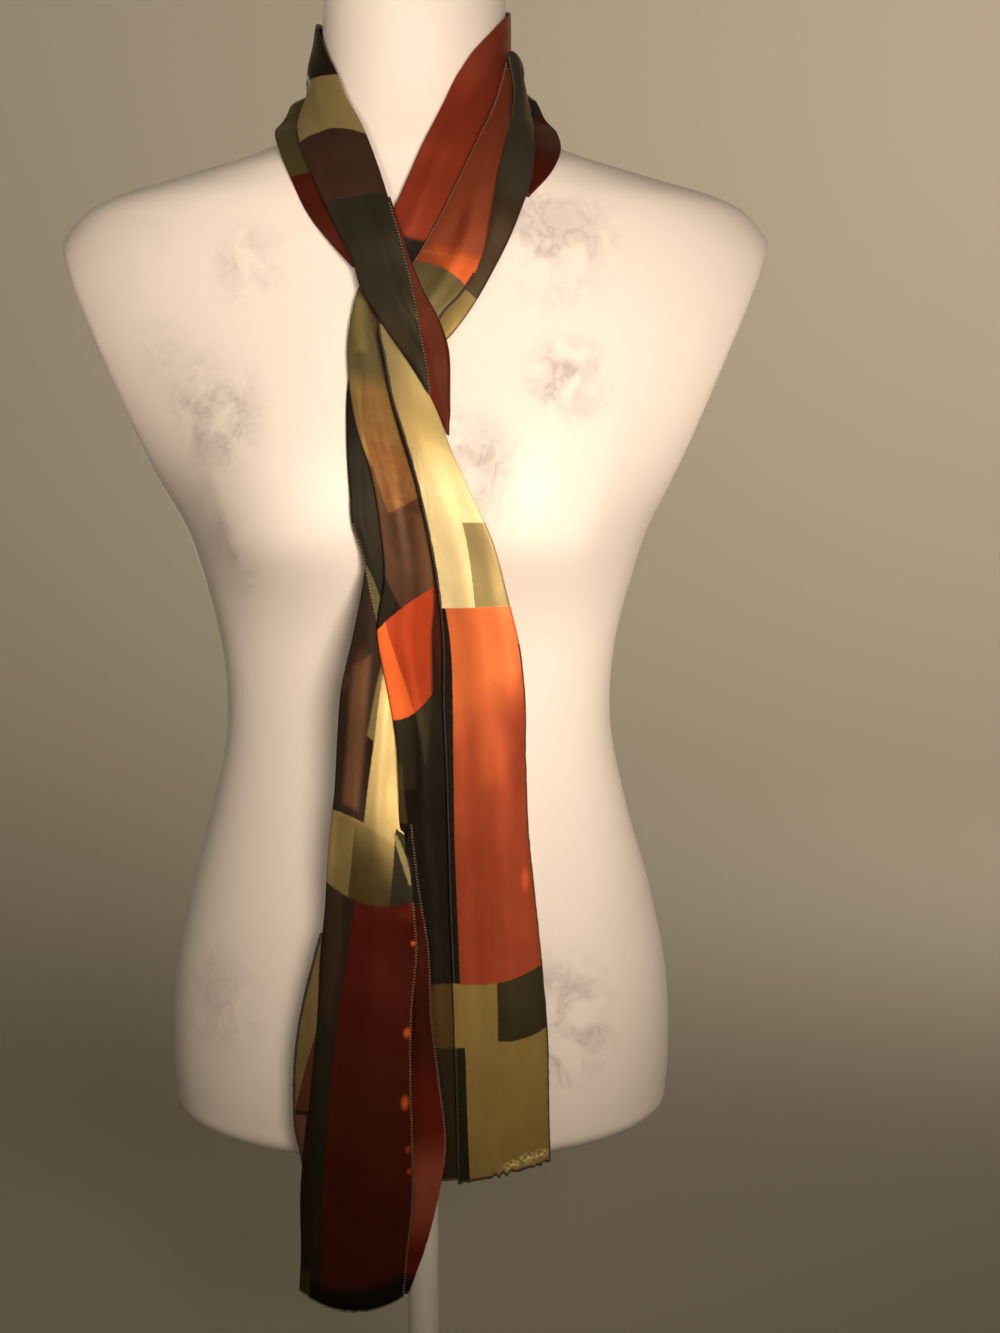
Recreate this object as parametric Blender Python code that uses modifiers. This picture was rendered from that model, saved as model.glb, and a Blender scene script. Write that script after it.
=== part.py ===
"""A long satin chiffon scarf, wound once round the neck of a limbless dress form on a short stand.

The form is a loft of horizontal sections. The scarf is thin walls laid on that form: each stretch of
cloth that shows is a sheet between two edges, held off the form by its level in the stack of layers.
Metres, +Z up, the wearer's front towards -Y, the origin under the middle of the stand's base.
"""

import math

import bpy
import numpy as np
from mathutils import Vector

# ---- Driving sizes -------------------------------------------------------------------------------

UNDERSIDE = 0.300  # height of the form's flat underside above the floor
NECK_TOP = 0.752  # height of the neck's top above the underside
ARM_CUT_REACH = 0.2155  # half the width across the shoulders, at the top of the arm cuts
ARM_CUT_HEIGHT = 0.556  # height above the underside where that width is measured
ARM_CUT_LEAN = 0.41  # how far an arm cut moves inwards for each metre down
ARM_CUT_FOOT = 0.400  # height where an arm cut runs out into the side
BUST_HEIGHT = 0.398
BUST_APART = 0.164
BUST_DEPTH = 0.030
BUST_WIDTH = 0.046
BUST_RISE = 0.066
BUST_FALL = 0.032
HANG_FALL = 0.250  # cloth that leaves the bust stays forward this far down

POLE_RADIUS = 0.0105
BASE_RADIUS = 0.150
BASE_THICKNESS = 0.012
SOCKET_RADIUS = 0.026
SOCKET_HEIGHT = 0.022

WALL = 0.001  # thickness of the cloth's wall
LAYER = 0.002  # from one layer of cloth to the next
REST = 0.001  # from the form to the lowest layer
GAP = 0.0003  # air between pieces that meet

# The front view that the scarf's edges are drawn in: a sheet of 1000 by 1333 points, seen from an
# eye in front of the form, a little to its right, that looks down on it.
SHEET_CENTRE = (500, 667)
SHEET_FOCUS = 2000
EYE_DISTANCE = 1.30
EYE_SIDE = 0.0527
EYE_PITCH = math.radians(10)
AIM_HEIGHT = 0.600

FORM_AROUND = 40
FORM_ROWS = 42
SHEET_STEP = 0.016  # length of cloth between two sections of a sheet
SHEET_ACROSS = 0.012  # width of cloth between two points of a section
DIP_REACH = 0.060  # length of cloth over which a hem's dip fades out

# One row for each section of the form. Columns: height above the underside, half width, depth in
# front, depth behind, and the depth in front at which cloth hangs past it.
FORM_SECTIONS = (
    (0.780, 0.0560, 0.0560, 0.0560, 0.0560),
    (0.700, 0.0563, 0.0565, 0.0570, 0.0565),
    (0.672, 0.0572, 0.0575, 0.0590, 0.0575),
    (0.650, 0.0615, 0.0605, 0.0640, 0.0605),
    (0.636, 0.0730, 0.0640, 0.0710, 0.0640),
    (0.626, 0.0910, 0.0670, 0.0770, 0.0670),
    (0.611, 0.1390, 0.0700, 0.0840, 0.0700),
    (0.596, 0.1900, 0.0740, 0.0900, 0.0740),
    (0.575, 0.2170, 0.0790, 0.0950, 0.0790),
    (0.555, 0.2260, 0.0820, 0.0980, 0.0820),
    (0.515, 0.2210, 0.0870, 0.1010, 0.0870),
    (0.475, 0.2000, 0.0910, 0.1010, 0.0910),
    (0.430, 0.1720, 0.0940, 0.0970, 0.0940),
    (0.396, 0.1500, 0.0925, 0.0920, 0.0950),
    (0.360, 0.1375, 0.0850, 0.0860, 0.0955),
    (0.310, 0.1262, 0.0775, 0.0800, 0.0960),
    (0.265, 0.1247, 0.0775, 0.0790, 0.0970),
    (0.211, 0.1355, 0.0865, 0.0880, 0.0985),
    (0.152, 0.1520, 0.0990, 0.1020, 0.1010),
    (0.100, 0.1625, 0.1040, 0.1130, 0.1050),
    (0.050, 0.1655, 0.1055, 0.1170, 0.1065),
    (0.020, 0.1640, 0.1045, 0.1160, 0.1065),
    (0.006, 0.1610, 0.1020, 0.1130, 0.1060),
    (0.000, 0.1540, 0.0950, 0.1060, 0.1060),
    (-0.080, 0.1540, 0.0950, 0.1060, 0.1050),
    (-0.200, 0.1540, 0.0950, 0.1060, 0.1040),
)


# ---- Curves through tables -----------------------------------------------------------------------


def smooth_through(keys, values, at):
    """Values at `at` on the smooth curve that passes through each key's value."""
    keys = np.asarray(keys, float)
    values = np.asarray(values, float)
    slopes = np.gradient(values, keys, axis=0)
    i = np.clip(np.searchsorted(keys, at) - 1, 0, len(keys) - 2)
    span = keys[i + 1] - keys[i]
    t = np.clip((at - keys[i]) / span, 0, 1)
    if values.ndim > 1:
        span = span[..., None]
        t = t[..., None]
    start = (2 * t**3 - 3 * t**2 + 1) * values[i] + (t**3 - 2 * t**2 + t) * span * slopes[i]
    end = (3 * t**2 - 2 * t**3) * values[i + 1] + (t**3 - t**2) * span * slopes[i + 1]
    return start + end


SECTION_TABLE = np.array(FORM_SECTIONS)[::-1]
FINE_HEIGHTS = np.arange(SECTION_TABLE[0, 0], SECTION_TABLE[-1, 0], 0.001)
FINE_SECTIONS = smooth_through(SECTION_TABLE[:, 0], SECTION_TABLE[:, 1:], FINE_HEIGHTS)


def section_at(height):
    """Half width, depth in front, depth behind and hanging depth at heights above the underside."""
    return [np.interp(height, FINE_HEIGHTS, column) for column in FINE_SECTIONS.T]


# ---- The form's surface --------------------------------------------------------------------------


def bust(x, height, fall):
    """How far the bust stands forward at a place on the front."""
    spread = np.where(height > BUST_HEIGHT, BUST_RISE, fall)
    down = np.exp(-((height - BUST_HEIGHT) ** 2) / (2 * spread**2))
    sides = sum(
        np.exp(-((x - side * BUST_APART / 2) ** 2) / (2 * BUST_WIDTH**2)) for side in (-1, 1)
    )
    return BUST_DEPTH * down * sides


def arm_cut(height):
    """The largest half width that the flat cut at each arm leaves."""
    reach = ARM_CUT_REACH - ARM_CUT_LEAN * (ARM_CUT_HEIGHT - height)
    return reach + 8 * np.clip(ARM_CUT_FOOT - height, 0, None) ** 2


def form_point(height, angle):
    """A point of the form at a height above the underside and an angle from the front."""
    half_width, front, back, _ = section_at(height)
    depth = np.where(np.cos(angle) > 0, front, back)
    radius = ((np.sin(angle) / half_width) ** 2 + (np.cos(angle) / depth) ** 2) ** -0.5
    x = np.clip(radius * np.sin(angle), -arm_cut(height), arm_cut(height))
    facing = np.clip(np.cos(angle) * 2, 0, 1)
    y = -radius * np.cos(angle) - facing * bust(x, height, BUST_FALL)
    return np.stack([x, y, height + UNDERSIDE], axis=-1)


def clearance(points):
    """Roughly how far points are outside the body that the cloth lies on or hangs past."""
    x, y = points[..., 0], points[..., 1]
    height = points[..., 2] - UNDERSIDE
    half_width, _, back, hang = section_at(height)
    y = y + np.clip(-y / 0.03, 0, 1) * bust(x, height, HANG_FALL)
    depth = np.where(y < 0, hang, back)
    scaled = np.hypot(x / half_width, y / depth)
    return np.hypot(x, y) * (1 - 1 / np.maximum(scaled, 1e-6))


def outward(points):
    """The clearance at points, corrected for slope, and the direction in which it grows."""
    step = 0.0005
    here = clearance(points)
    axes = np.eye(3) * step
    slope = np.stack([clearance(points + axis) - clearance(points - axis) for axis in axes], axis=-1)
    slope /= 2 * step
    size = np.linalg.norm(slope, axis=-1, keepdims=True)
    return here / size[..., 0], slope / size


def settle(points, lift):
    """Moves points straight out or in until they are `lift` off the body."""
    for _ in range(6):
        distance, direction = outward(points)
        points = points + direction * (lift - distance)[..., None]
    return points


# ---- Places on the form --------------------------------------------------------------------------


def lift_of(level):
    return REST + level * LAYER


def seen(x, y, level):
    """The place at a level of cloth that shows at point (x, y) of the front view."""
    eye = np.array([EYE_SIDE, -EYE_DISTANCE * math.cos(EYE_PITCH), 0.0])
    eye[2] = AIM_HEIGHT + EYE_DISTANCE * math.sin(EYE_PITCH)
    across = (x - SHEET_CENTRE[0]) / SHEET_FOCUS
    rise = (SHEET_CENTRE[1] - y) / SHEET_FOCUS
    sight = np.array([across, math.cos(EYE_PITCH) + rise * math.sin(EYE_PITCH), 0.0])
    sight[2] = rise * math.cos(EYE_PITCH) - math.sin(EYE_PITCH)
    reach = np.linspace(1.05, 1.32, 541)
    points = eye + reach[:, None] * sight
    distance = outward(points)[0] - lift_of(level)
    inside = np.flatnonzero(distance < 0)
    i = inside[0] if len(inside) else int(np.argmin(distance))
    if len(inside) and i > 0:
        share = distance[i - 1] / (distance[i - 1] - distance[i])
        return points[i - 1] + share * (points[i] - points[i - 1]), level
    return points[i], level


def round_neck(degrees, height, level):
    """The place at a level of cloth at an angle from the front and a height above the underside."""
    angle = math.radians(degrees)
    point = form_point(np.array(height), np.array(angle))
    return settle(point[None], np.array([lift_of(level)]))[0], level


# ---- Meshes --------------------------------------------------------------------------------------

parts = bpy.data.collections.new("chiffon_scarf_on_dress_form")


def start_scene():
    for obj in list(bpy.data.objects):
        bpy.data.objects.remove(obj)
    bpy.context.scene.collection.children.link(parts)


def material(name, colour, roughness, metallic=0.0):
    made = bpy.data.materials.new(name)
    made.use_nodes = True
    shader = made.node_tree.nodes["Principled BSDF"]
    shader.inputs["Base Color"].default_value = (*colour, 1)
    shader.inputs["Roughness"].default_value = roughness
    shader.inputs["Metallic"].default_value = metallic
    return made


def add_part(name, points, faces, finish):
    mesh = bpy.data.meshes.new(name)
    mesh.from_pydata([tuple(point) for point in points], [], faces)
    mesh.validate()
    mesh.materials.append(finish)
    obj = bpy.data.objects.new(name, mesh)
    parts.objects.link(obj)
    mesh.shade_smooth()
    return obj


def loft_faces(rows, columns, closed):
    """Faces between rows of points, each row a ring where `closed` is set."""
    faces = []
    for row in range(rows - 1):
        for column in range(columns if closed else columns - 1):
            a = row * columns + column
            b = row * columns + (column + 1) % columns
            faces.append((a, b, b + columns, a + columns))
    return faces


# ---- The dress form and its stand ----------------------------------------------------------------


def form_heights():
    """Heights of the form's sections, even along its outline, so that flat slopes get as many."""
    heights = np.linspace(0, NECK_TOP, 800)
    widths = section_at(heights)[0]
    along = np.concatenate([[0], np.cumsum(np.hypot(np.diff(heights), np.diff(widths)))])
    return np.interp(np.linspace(0, along[-1], FORM_ROWS), along, heights)


def add_torso(finish):
    heights = form_heights()
    angles = np.arange(FORM_AROUND) * 2 * math.pi / FORM_AROUND
    grid = form_point(*np.meshgrid(heights, angles, indexing="ij"))
    faces = loft_faces(len(heights), FORM_AROUND, closed=True)
    last = (len(heights) - 1) * FORM_AROUND
    faces.append(tuple(range(FORM_AROUND))[::-1])
    faces.append(tuple(range(last, last + FORM_AROUND)))
    return add_part("form_torso", grid.reshape(-1, 3), faces, finish)


def add_turned(name, profile, finish, steps=48):
    """A turned piece from its profile: (radius, height) down its outer side, both ends on the axis."""
    mesh = bpy.data.meshes.new(name)
    points = [(radius, 0, height) for radius, height in profile]
    mesh.from_pydata(points, [(i, i + 1) for i in range(len(points) - 1)], [])
    mesh.materials.append(finish)
    obj = bpy.data.objects.new(name, mesh)
    parts.objects.link(obj)
    screw = obj.modifiers.new("turn", "SCREW")
    screw.steps = steps
    screw.render_steps = steps
    screw.use_merge_vertices = True
    screw.merge_threshold = 1e-5
    return obj


def add_stand(enamel, plastic):
    pole_foot = BASE_THICKNESS + GAP
    pole_head = UNDERSIDE - SOCKET_HEIGHT - 2 * GAP
    chamfer = 0.003
    add_turned(
        "stand_base",
        (
            (0, BASE_THICKNESS),
            (BASE_RADIUS - chamfer, BASE_THICKNESS),
            (BASE_RADIUS, BASE_THICKNESS - chamfer),
            (BASE_RADIUS, 0),
            (0, 0),
        ),
        enamel,
        steps=64,
    )
    add_turned(
        "stand_pole",
        ((0, pole_head), (POLE_RADIUS, pole_head), (POLE_RADIUS, pole_foot), (0, pole_foot)),
        enamel,
        steps=28,
    )
    add_turned(
        "stand_socket",
        (
            (0, UNDERSIDE - GAP),
            (SOCKET_RADIUS, UNDERSIDE - GAP),
            (SOCKET_RADIUS, UNDERSIDE - SOCKET_HEIGHT / 2),
            (POLE_RADIUS + 0.004, UNDERSIDE - SOCKET_HEIGHT - GAP),
            (0, UNDERSIDE - SOCKET_HEIGHT - GAP),
        ),
        plastic,
        steps=36,
    )


# ---- The scarf -----------------------------------------------------------------------------------
# Each sheet is a row of pairs: the place of one edge and of the other, from its upper end to its
# lower end or round the neck. `seen` takes points of the front view and a level, `round_neck` an
# angle from the front, a height above the underside and a level.


def left_front():
    """From behind the neck over the left of it and down across the front, on top of the rest."""
    return (
        (round_neck(-92, 0.7010, 2.6), round_neck(-101, 0.6610, 3.0)),
        (round_neck(-80, 0.6960, 2.6), round_neck(-96, 0.6580, 3.6)),
        (seen(331, 62, 2.8), seen(301, 94, 3.6)),
        (seen(345, 95, 3.0), seen(298, 122, 3.6)),
        (seen(363, 127, 3.4), seen(302, 150, 3.6)),
        (seen(376, 160, 4.2), seen(316, 184, 3.8)),
        (seen(389, 200, 5.0), seen(333, 222, 4.4)),
        (seen(402, 245, 5.0), seen(352, 260, 5.0)),
        (seen(413, 290, 5.0), seen(361, 290, 5.0)),
        (seen(422, 340, 5.0), seen(386, 330, 5.0)),
        (seen(428, 372, 5.0), seen(408, 362, 5.0)),
        (seen(430, 395, 5.0), seen(425, 388, 5.0)),
    )


def left_outer():
    """The layer under the left front that lies on the shoulder, outside it."""
    return (
        (round_neck(-101, 0.6640, 0.6), round_neck(-101, 0.6480, 4.6)),
        (seen(303, 98, 1.8), seen(286, 104, 6.6)),
        (seen(309, 120, 1.8), seen(278, 126, 4.8)),
        (seen(318, 150, 1.8), seen(281, 156, 1.2)),
        (seen(328, 180, 2.0), seen(294, 182, 0.5)),
        (seen(343, 210, 2.6), seen(314, 212, 0.8)),
        (seen(356, 238, 3.6), seen(337, 242, 2.0)),
        (seen(366, 262, 4.0), seen(356, 266, 3.4)),
    )


def left_under():
    """The strip that shows to the right of the left front's hem, and lies on the right strand."""
    return (
        (seen(390, 197, 4.0), seen(378, 202, 4.0)),
        (seen(404, 240, 4.0), seen(385, 250, 4.0)),
        (seen(422, 288, 4.0), seen(398, 292, 4.0)),
        (seen(438, 322, 4.0), seen(404, 330, 4.0)),
        (seen(443, 350, 4.0), seen(412, 358, 4.0)),
        (seen(443, 395, 4.0), seen(424, 384, 4.0)),
        (seen(444, 426, 4.0), seen(439, 416, 4.0)),
    )


def neck_under():
    """Round the back of the neck, lowest on the shoulders."""
    return (
        (round_neck(-101.6, 0.6640, 0.6), round_neck(-101.6, 0.6480, 4.6)),
        (round_neck(-130, 0.6720, 0.4), round_neck(-130, 0.6220, 0.7)),
        (round_neck(-180, 0.6780, 0.6), round_neck(-180, 0.6120, 0.7)),
        (round_neck(-228, 0.6740, 0.3), round_neck(-228, 0.6220, 0.7)),
        (round_neck(-255.6, 0.6640, 0.4), round_neck(-255.6, 0.6480, 4.8)),
    )


def neck_inner():
    """Round the back of the neck from the right, against it, and ending under the left front."""
    return (
        (round_neck(-118, 0.6960, 1.6), round_neck(-118, 0.6720, 1.6)),
        (round_neck(-145, 0.7020, 1.5), round_neck(-145, 0.6600, 1.6)),
        (round_neck(-180, 0.7080, 1.5), round_neck(-180, 0.6560, 1.6)),
        (round_neck(-225, 0.7110, 1.5), round_neck(-225, 0.6620, 1.6)),
        (round_neck(-264.6, 0.7085, 1.2), round_neck(-264.6, 0.6690, 1.2)),
    )


def neck_top():
    """Round the back of the neck, on top."""
    return (
        (round_neck(-92.6, 0.7010, 2.6), round_neck(-101.6, 0.6610, 3.0)),
        (round_neck(-125, 0.7000, 2.6), round_neck(-130, 0.6480, 2.6)),
        (round_neck(-178, 0.6960, 2.6), round_neck(-180, 0.6420, 2.4)),
        (round_neck(-225, 0.6940, 2.6), round_neck(-230, 0.6460, 2.6)),
        (round_neck(-261.6, 0.6780, 3.2), round_neck(-261.6, 0.6610, 3.6)),
    )


def right_under():
    """The inner layer right of the neck, and the under layer of the right tail."""
    return (
        (round_neck(95, 0.7085, 1.2), round_neck(95, 0.6690, 1.2)),
        (seen(501, 24, 1.1), seen(507, 70, 1.1)),
        (seen(480, 45, 1.1), seen(506, 92, 1.1)),
        (seen(460, 72, 1.2), seen(499, 120, 1.2)),
        (seen(443, 105, 1.4), seen(488, 148, 1.4)),
        (seen(420, 150, 1.7), seen(470, 192, 1.7)),
        (seen(398, 200, 2.0), seen(448, 240, 2.0)),
        (seen(378, 245, 2.0), seen(430, 280, 2.0)),
        (seen(358, 290, 2.0), seen(420, 315, 2.0)),
        (seen(348, 340, 2.0), seen(418, 352, 2.0)),
        (seen(351, 380, 2.0), seen(420, 392, 2.0)),
        (seen(361, 425, 2.0), seen(424, 440, 2.0)),
        (seen(373, 475, 2.0), seen(432, 490, 2.0)),
        (seen(380, 530, 2.0), seen(445, 545, 2.0)),
        (seen(384, 580, 2.0), seen(454, 600, 2.0)),
        (seen(377, 627, 2.0), seen(460, 640, 2.0)),
        (seen(385, 680, 2.0), seen(464, 690, 2.0)),
        (seen(396, 740, 2.0), seen(468, 750, 2.0)),
        (seen(399, 790, 2.0), seen(470, 800, 1.8)),
        (seen(400, 840, 1.0), seen(472, 850, 0.8)),
        (seen(408, 880, 0.2), seen(474, 890, 0.2)),
        (seen(412, 940, 0.0), seen(476, 945, 0.0)),
        (seen(416, 1010, 0.0), seen(480, 1010, 0.0)),
        (seen(424, 1080, 0.0), seen(484, 1080, 0.0)),
        (seen(432, 1140, 0.0), seen(488, 1135, 0.0)),
        (seen(436, 1182, 0.0), seen(490, 1176, 0.0)),
    )


def right_front():
    """The top layer right of the neck, with its hem on the left, and the front of the right tail."""
    return (
        (seen(505, 64, 2.1), seen(511, 78, 2.1)),
        (seen(500, 86, 2.2), seen(512, 96, 2.2)),
        (seen(494, 104, 2.3), seen(507, 117, 2.5)),
        (seen(486, 122, 2.6), seen(506, 138, 3.1)),
        (seen(477, 140, 2.9), seen(499, 166, 3.4)),
        (seen(452, 192, 3.0), seen(491, 212, 3.1)),
        (seen(427, 240, 3.0), seen(481, 262, 3.0)),
        (seen(400, 284, 3.0), seen(462, 294, 3.0)),
        (seen(379, 318, 3.0), seen(441, 318, 3.0)),
        (seen(381, 360, 3.0), seen(436, 358, 3.0)),
        (seen(387, 398, 3.0), seen(437, 396, 3.0)),
        (seen(400, 440, 3.0), seen(446, 436, 3.0)),
        (seen(414, 490, 3.0), seen(469, 490, 3.0)),
        (seen(428, 545, 3.0), seen(492, 540, 3.0)),
        (seen(437, 600, 3.0), seen(508, 598, 3.0)),
        (seen(441, 650, 3.0), seen(520, 648, 3.0)),
        (seen(443, 700, 3.0), seen(525, 698, 3.0)),
        (seen(446, 770, 3.0), seen(526, 765, 3.0)),
        (seen(448, 840, 2.4), seen(529, 835, 2.0)),
        (seen(450, 910, 1.6), seen(536, 905, 1.2)),
        (seen(453, 985, 1.2), seen(543, 975, 0.8)),
        (seen(455, 1050, 1.2), seen(548, 1045, 0.8)),
        (seen(457, 1120, 1.2), seen(549, 1110, 0.8)),
        (seen(458, 1184, 1.2), seen(550, 1160, 0.8)),
    )


def right_outer():
    """The layer that shows right of the top one, down to the crossing."""
    return (
        (round_neck(98, 0.6780, 3.2), round_neck(98, 0.6610, 3.6)),
        (seen(508, 54, 3.0), seen(520, 70, 4.6)),
        (seen(513, 88, 3.2), seen(527, 98, 4.4)),
        (seen(511, 114, 2.8), seen(531, 118, 3.6)),
        (seen(503, 136, 1.8), seen(534, 142, 2.9)),
        (seen(493, 162, 1.8), seen(533, 174, 2.2)),
        (seen(484, 190, 2.1), seen(522, 208, 2.1)),
        (seen(474, 222, 2.0), seen(510, 238, 2.0)),
        (seen(458, 256, 2.0), seen(494, 270, 2.0)),
        (seen(444, 284, 2.0), seen(476, 302, 2.0)),
        (seen(432, 310, 2.0), seen(458, 328, 2.0)),
        (seen(426, 334, 2.0), seen(444, 344, 2.0)),
    )


def right_back():
    """The outermost layer right of the neck, lying on the shoulder."""
    return (
        (round_neck(104, 0.6640, 0.4), round_neck(104, 0.6480, 4.8)),
        (seen(518, 90, 1.8), seen(543, 102, 7.0)),
        (seen(521, 110, 1.6), seen(553, 122, 5.4)),
        (seen(522, 136, 1.0), seen(561, 147, 1.6)),
        (seen(514, 164, 0.8), seen(550, 174, 0.5)),
        (seen(504, 190, 0.6), seen(529, 197, 0.4)),
    )


def wrap_behind():
    """The left strand where it passes behind the right one, and shows again left of it."""
    return (
        (seen(352, 356, 1.0), seen(442, 352, 1.0)),
        (seen(347, 395, 1.0), seen(443, 395, 1.0)),
        (seen(347, 449, 1.0), seen(442, 436, 1.0)),
        (seen(350, 495, 1.0), seen(434, 490, 1.0)),
        (seen(352, 523, 1.0), seen(426, 520, 1.0)),
        (seen(363, 557, 1.0), seen(416, 556, 1.0)),
        (seen(373, 590, 1.0), seen(409, 590, 1.0)),
        (seen(383, 620, 1.0), seen(402, 622, 1.0)),
    )


def left_tail_front():
    """The front of the left tail."""
    return (
        (seen(368, 548, 0.0), seen(402, 552, 0.0)),
        (seen(362, 590, 0.0), seen(404, 592, 0.0)),
        (seen(352, 640, 0.0), seen(406, 640, 0.0)),
        (seen(341, 690, 0.0), seen(406, 692, 0.0)),
        (seen(337, 742, 0.0), seen(405, 745, 0.0)),
        (seen(334, 795, 0.2), seen(402, 796, 0.2)),
        (seen(330, 830, 1.0), seen(396, 831, 1.0)),
        (seen(327, 868, 2.4), seen(403, 868, 3.0)),
        (seen(325, 905, 2.6), seen(414, 905, 3.0)),
        (seen(321, 950, 2.6), seen(417, 948, 2.8)),
        (seen(318, 1010, 2.6), seen(412, 1010, 2.8)),
        (seen(312, 1080, 2.6), seen(411, 1080, 2.8)),
        (seen(305, 1140, 2.6), seen(413, 1145, 2.8)),
        (seen(300, 1200, 2.6), seen(413, 1205, 2.8)),
        (seen(301, 1250, 2.6), seen(408, 1252, 2.8)),
        (seen(299, 1290, 2.6), seen(404, 1297, 2.8)),
    )


def left_tail_flap():
    """The fold of the left tail that shows to the right of its front hem."""
    return (
        (seen(402, 826, 2.4), seen(412, 826, 2.4)),
        (seen(402, 862, 1.8), seen(416, 862, 1.8)),
        (seen(400, 900, 1.6), seen(421, 900, 1.6)),
        (seen(398, 952, 1.4), seen(429, 950, 1.4)),
        (seen(394, 1020, 1.4), seen(432, 1020, 1.4)),
        (seen(392, 1085, 1.4), seen(440, 1085, 1.4)),
        (seen(390, 1145, 1.4), seen(446, 1145, 1.4)),
        (seen(388, 1200, 1.4), seen(438, 1199, 1.4)),
        (seen(386, 1250, 1.4), seen(425, 1249, 1.4)),
        (seen(384, 1286, 1.4), seen(409, 1293, 1.4)),
    )


def left_tail_back():
    """The fold of the left tail that shows to the left of its front, behind it."""
    return (
        (seen(320, 934, 1.8), seen(344, 934, 1.8)),
        (seen(310, 972, 1.8), seen(348, 972, 1.8)),
        (seen(301, 1010, 1.8), seen(350, 1010, 1.8)),
        (seen(295, 1050, 1.8), seen(350, 1050, 1.8)),
        (seen(293, 1090, 1.8), seen(350, 1090, 1.8)),
        (seen(295, 1132, 1.8), seen(350, 1132, 1.8)),
        (seen(301, 1160, 1.8), seen(350, 1160, 1.8)),
        (seen(306, 1210, 1.75), seen(352, 1210, 1.75)),
        (seen(308, 1284, 1.75), seen(354, 1288, 1.75)),
    )


def sheet_grid(rows, dip):
    """Points of a sheet: sections through the rows' edges, settled on the body at their levels.

    The middle of the last section hangs `dip` lower than its ends.
    """
    first = np.array([pair[0][0] for pair in rows])
    second = np.array([pair[1][0] for pair in rows])
    levels = np.array([[pair[0][1], pair[1][1]] for pair in rows])
    middle = (first + second) / 2
    keys = np.concatenate([[0], np.cumsum(np.linalg.norm(np.diff(middle, axis=0), axis=1))])
    stations = np.linspace(0, keys[-1], max(3, 1 + round(keys[-1] / SHEET_STEP)))
    first = smooth_through(keys, first, stations)
    second = smooth_through(keys, second, stations)
    levels = smooth_through(keys, levels, stations)
    widest = np.linalg.norm(second - first, axis=1).max()
    shares = np.linspace(0, 1, max(3, 1 + round(widest / SHEET_ACROSS)))
    flat = first[:, None] + shares[None, :, None] * (second - first)[:, None]
    level = levels[:, :1] + shares[None] * (levels[:, 1:] - levels[:, :1])
    grid = settle(flat.reshape(-1, 3), lift_of(level.ravel())).reshape(flat.shape)
    fade = np.clip(1 - (keys[-1] - stations) / DIP_REACH, 0, 1) ** 2
    grid[..., 2] -= dip * fade[:, None] * 4 * shares * (1 - shares)
    return grid


def faces_out(grid):
    """True where the grid's faces already look away from the body."""
    middle = grid[grid.shape[0] // 2, grid.shape[1] // 2]
    along = grid[grid.shape[0] // 2 + 1, grid.shape[1] // 2] - middle
    across = grid[grid.shape[0] // 2, grid.shape[1] // 2 + 1] - middle
    direction = outward(middle[None])[1][0]
    return float(np.dot(np.cross(across, along), direction)) > 0


def add_sheet(name, rows, dip, finish):
    """A wall of cloth whose inner face lies on the sheet's points."""
    grid = sheet_grid(rows, dip)
    if not faces_out(grid):
        grid = grid[:, ::-1]
    faces = loft_faces(*grid.shape[:2], closed=False)
    obj = add_part(name, grid.reshape(-1, 3), faces, finish)
    wall = obj.modifiers.new("wall", "SOLIDIFY")
    wall.thickness = WALL
    wall.offset = 1
    wall.use_even_offset = True
    return obj


def add_turn(finish):
    """Where the left strand turns round the right strand's edge, from its front to behind it."""
    rows = ((443, 356), (444, 380), (444, 405), (444, 426))
    edge_points = 7
    half_turn = np.linspace(0, math.pi, edge_points)
    high, low = lift_of(4.0), lift_of(1.0)
    grid = []
    for x, y in rows:
        top = Vector(seen(x + 1, y, 4.0)[0])
        bottom = Vector(seen(x + 1, y, 1.0)[0])
        bulge = Vector(((high - low) / 2, 0, 0))
        middle = (top + bottom) / 2
        half = (top - bottom) / 2
        grid.append([middle + half * math.cos(t) + bulge * math.sin(t) for t in half_turn])
    grid = np.array(grid)
    faces = loft_faces(*grid.shape[:2], closed=False)
    obj = add_part("scarf_turn", grid.reshape(-1, 3), faces, finish)
    wall = obj.modifiers.new("wall", "SOLIDIFY")
    wall.thickness = WALL
    wall.offset = 1
    return obj


SHEETS = {
    "scarf_left_front": left_front,
    "scarf_left_outer": left_outer,
    "scarf_left_under": left_under,
    "scarf_neck_under": neck_under,
    "scarf_neck_inner": neck_inner,
    "scarf_neck_top": neck_top,
    "scarf_right_under": right_under,
    "scarf_right_front": right_front,
    "scarf_right_outer": right_outer,
    "scarf_right_back": right_back,
    "scarf_wrap_behind": wrap_behind,
    "scarf_left_tail_front": left_tail_front,
    "scarf_left_tail_flap": left_tail_flap,
    "scarf_left_tail_back": left_tail_back,
}
HEM_DIPS = {"scarf_left_tail_front": 0.011, "scarf_left_tail_flap": 0.003}
SHEET_COLOURS = {
    "scarf_left_front": (0.030, 0.027, 0.014),
    "scarf_left_outer": (0.175, 0.145, 0.050),
    "scarf_left_under": (0.240, 0.035, 0.014),
    "scarf_neck_under": (0.175, 0.145, 0.050),
    "scarf_neck_inner": (0.270, 0.050, 0.016),
    "scarf_neck_top": (0.035, 0.018, 0.010),
    "scarf_right_under": (0.270, 0.050, 0.016),
    "scarf_right_front": (0.610, 0.130, 0.025),
    "scarf_right_outer": (0.030, 0.027, 0.014),
    "scarf_right_back": (0.090, 0.014, 0.008),
    "scarf_wrap_behind": (0.030, 0.027, 0.014),
    "scarf_left_tail_front": (0.115, 0.016, 0.008),
    "scarf_left_tail_flap": (0.180, 0.028, 0.014),
    "scarf_left_tail_back": (0.300, 0.250, 0.100),
}


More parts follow.
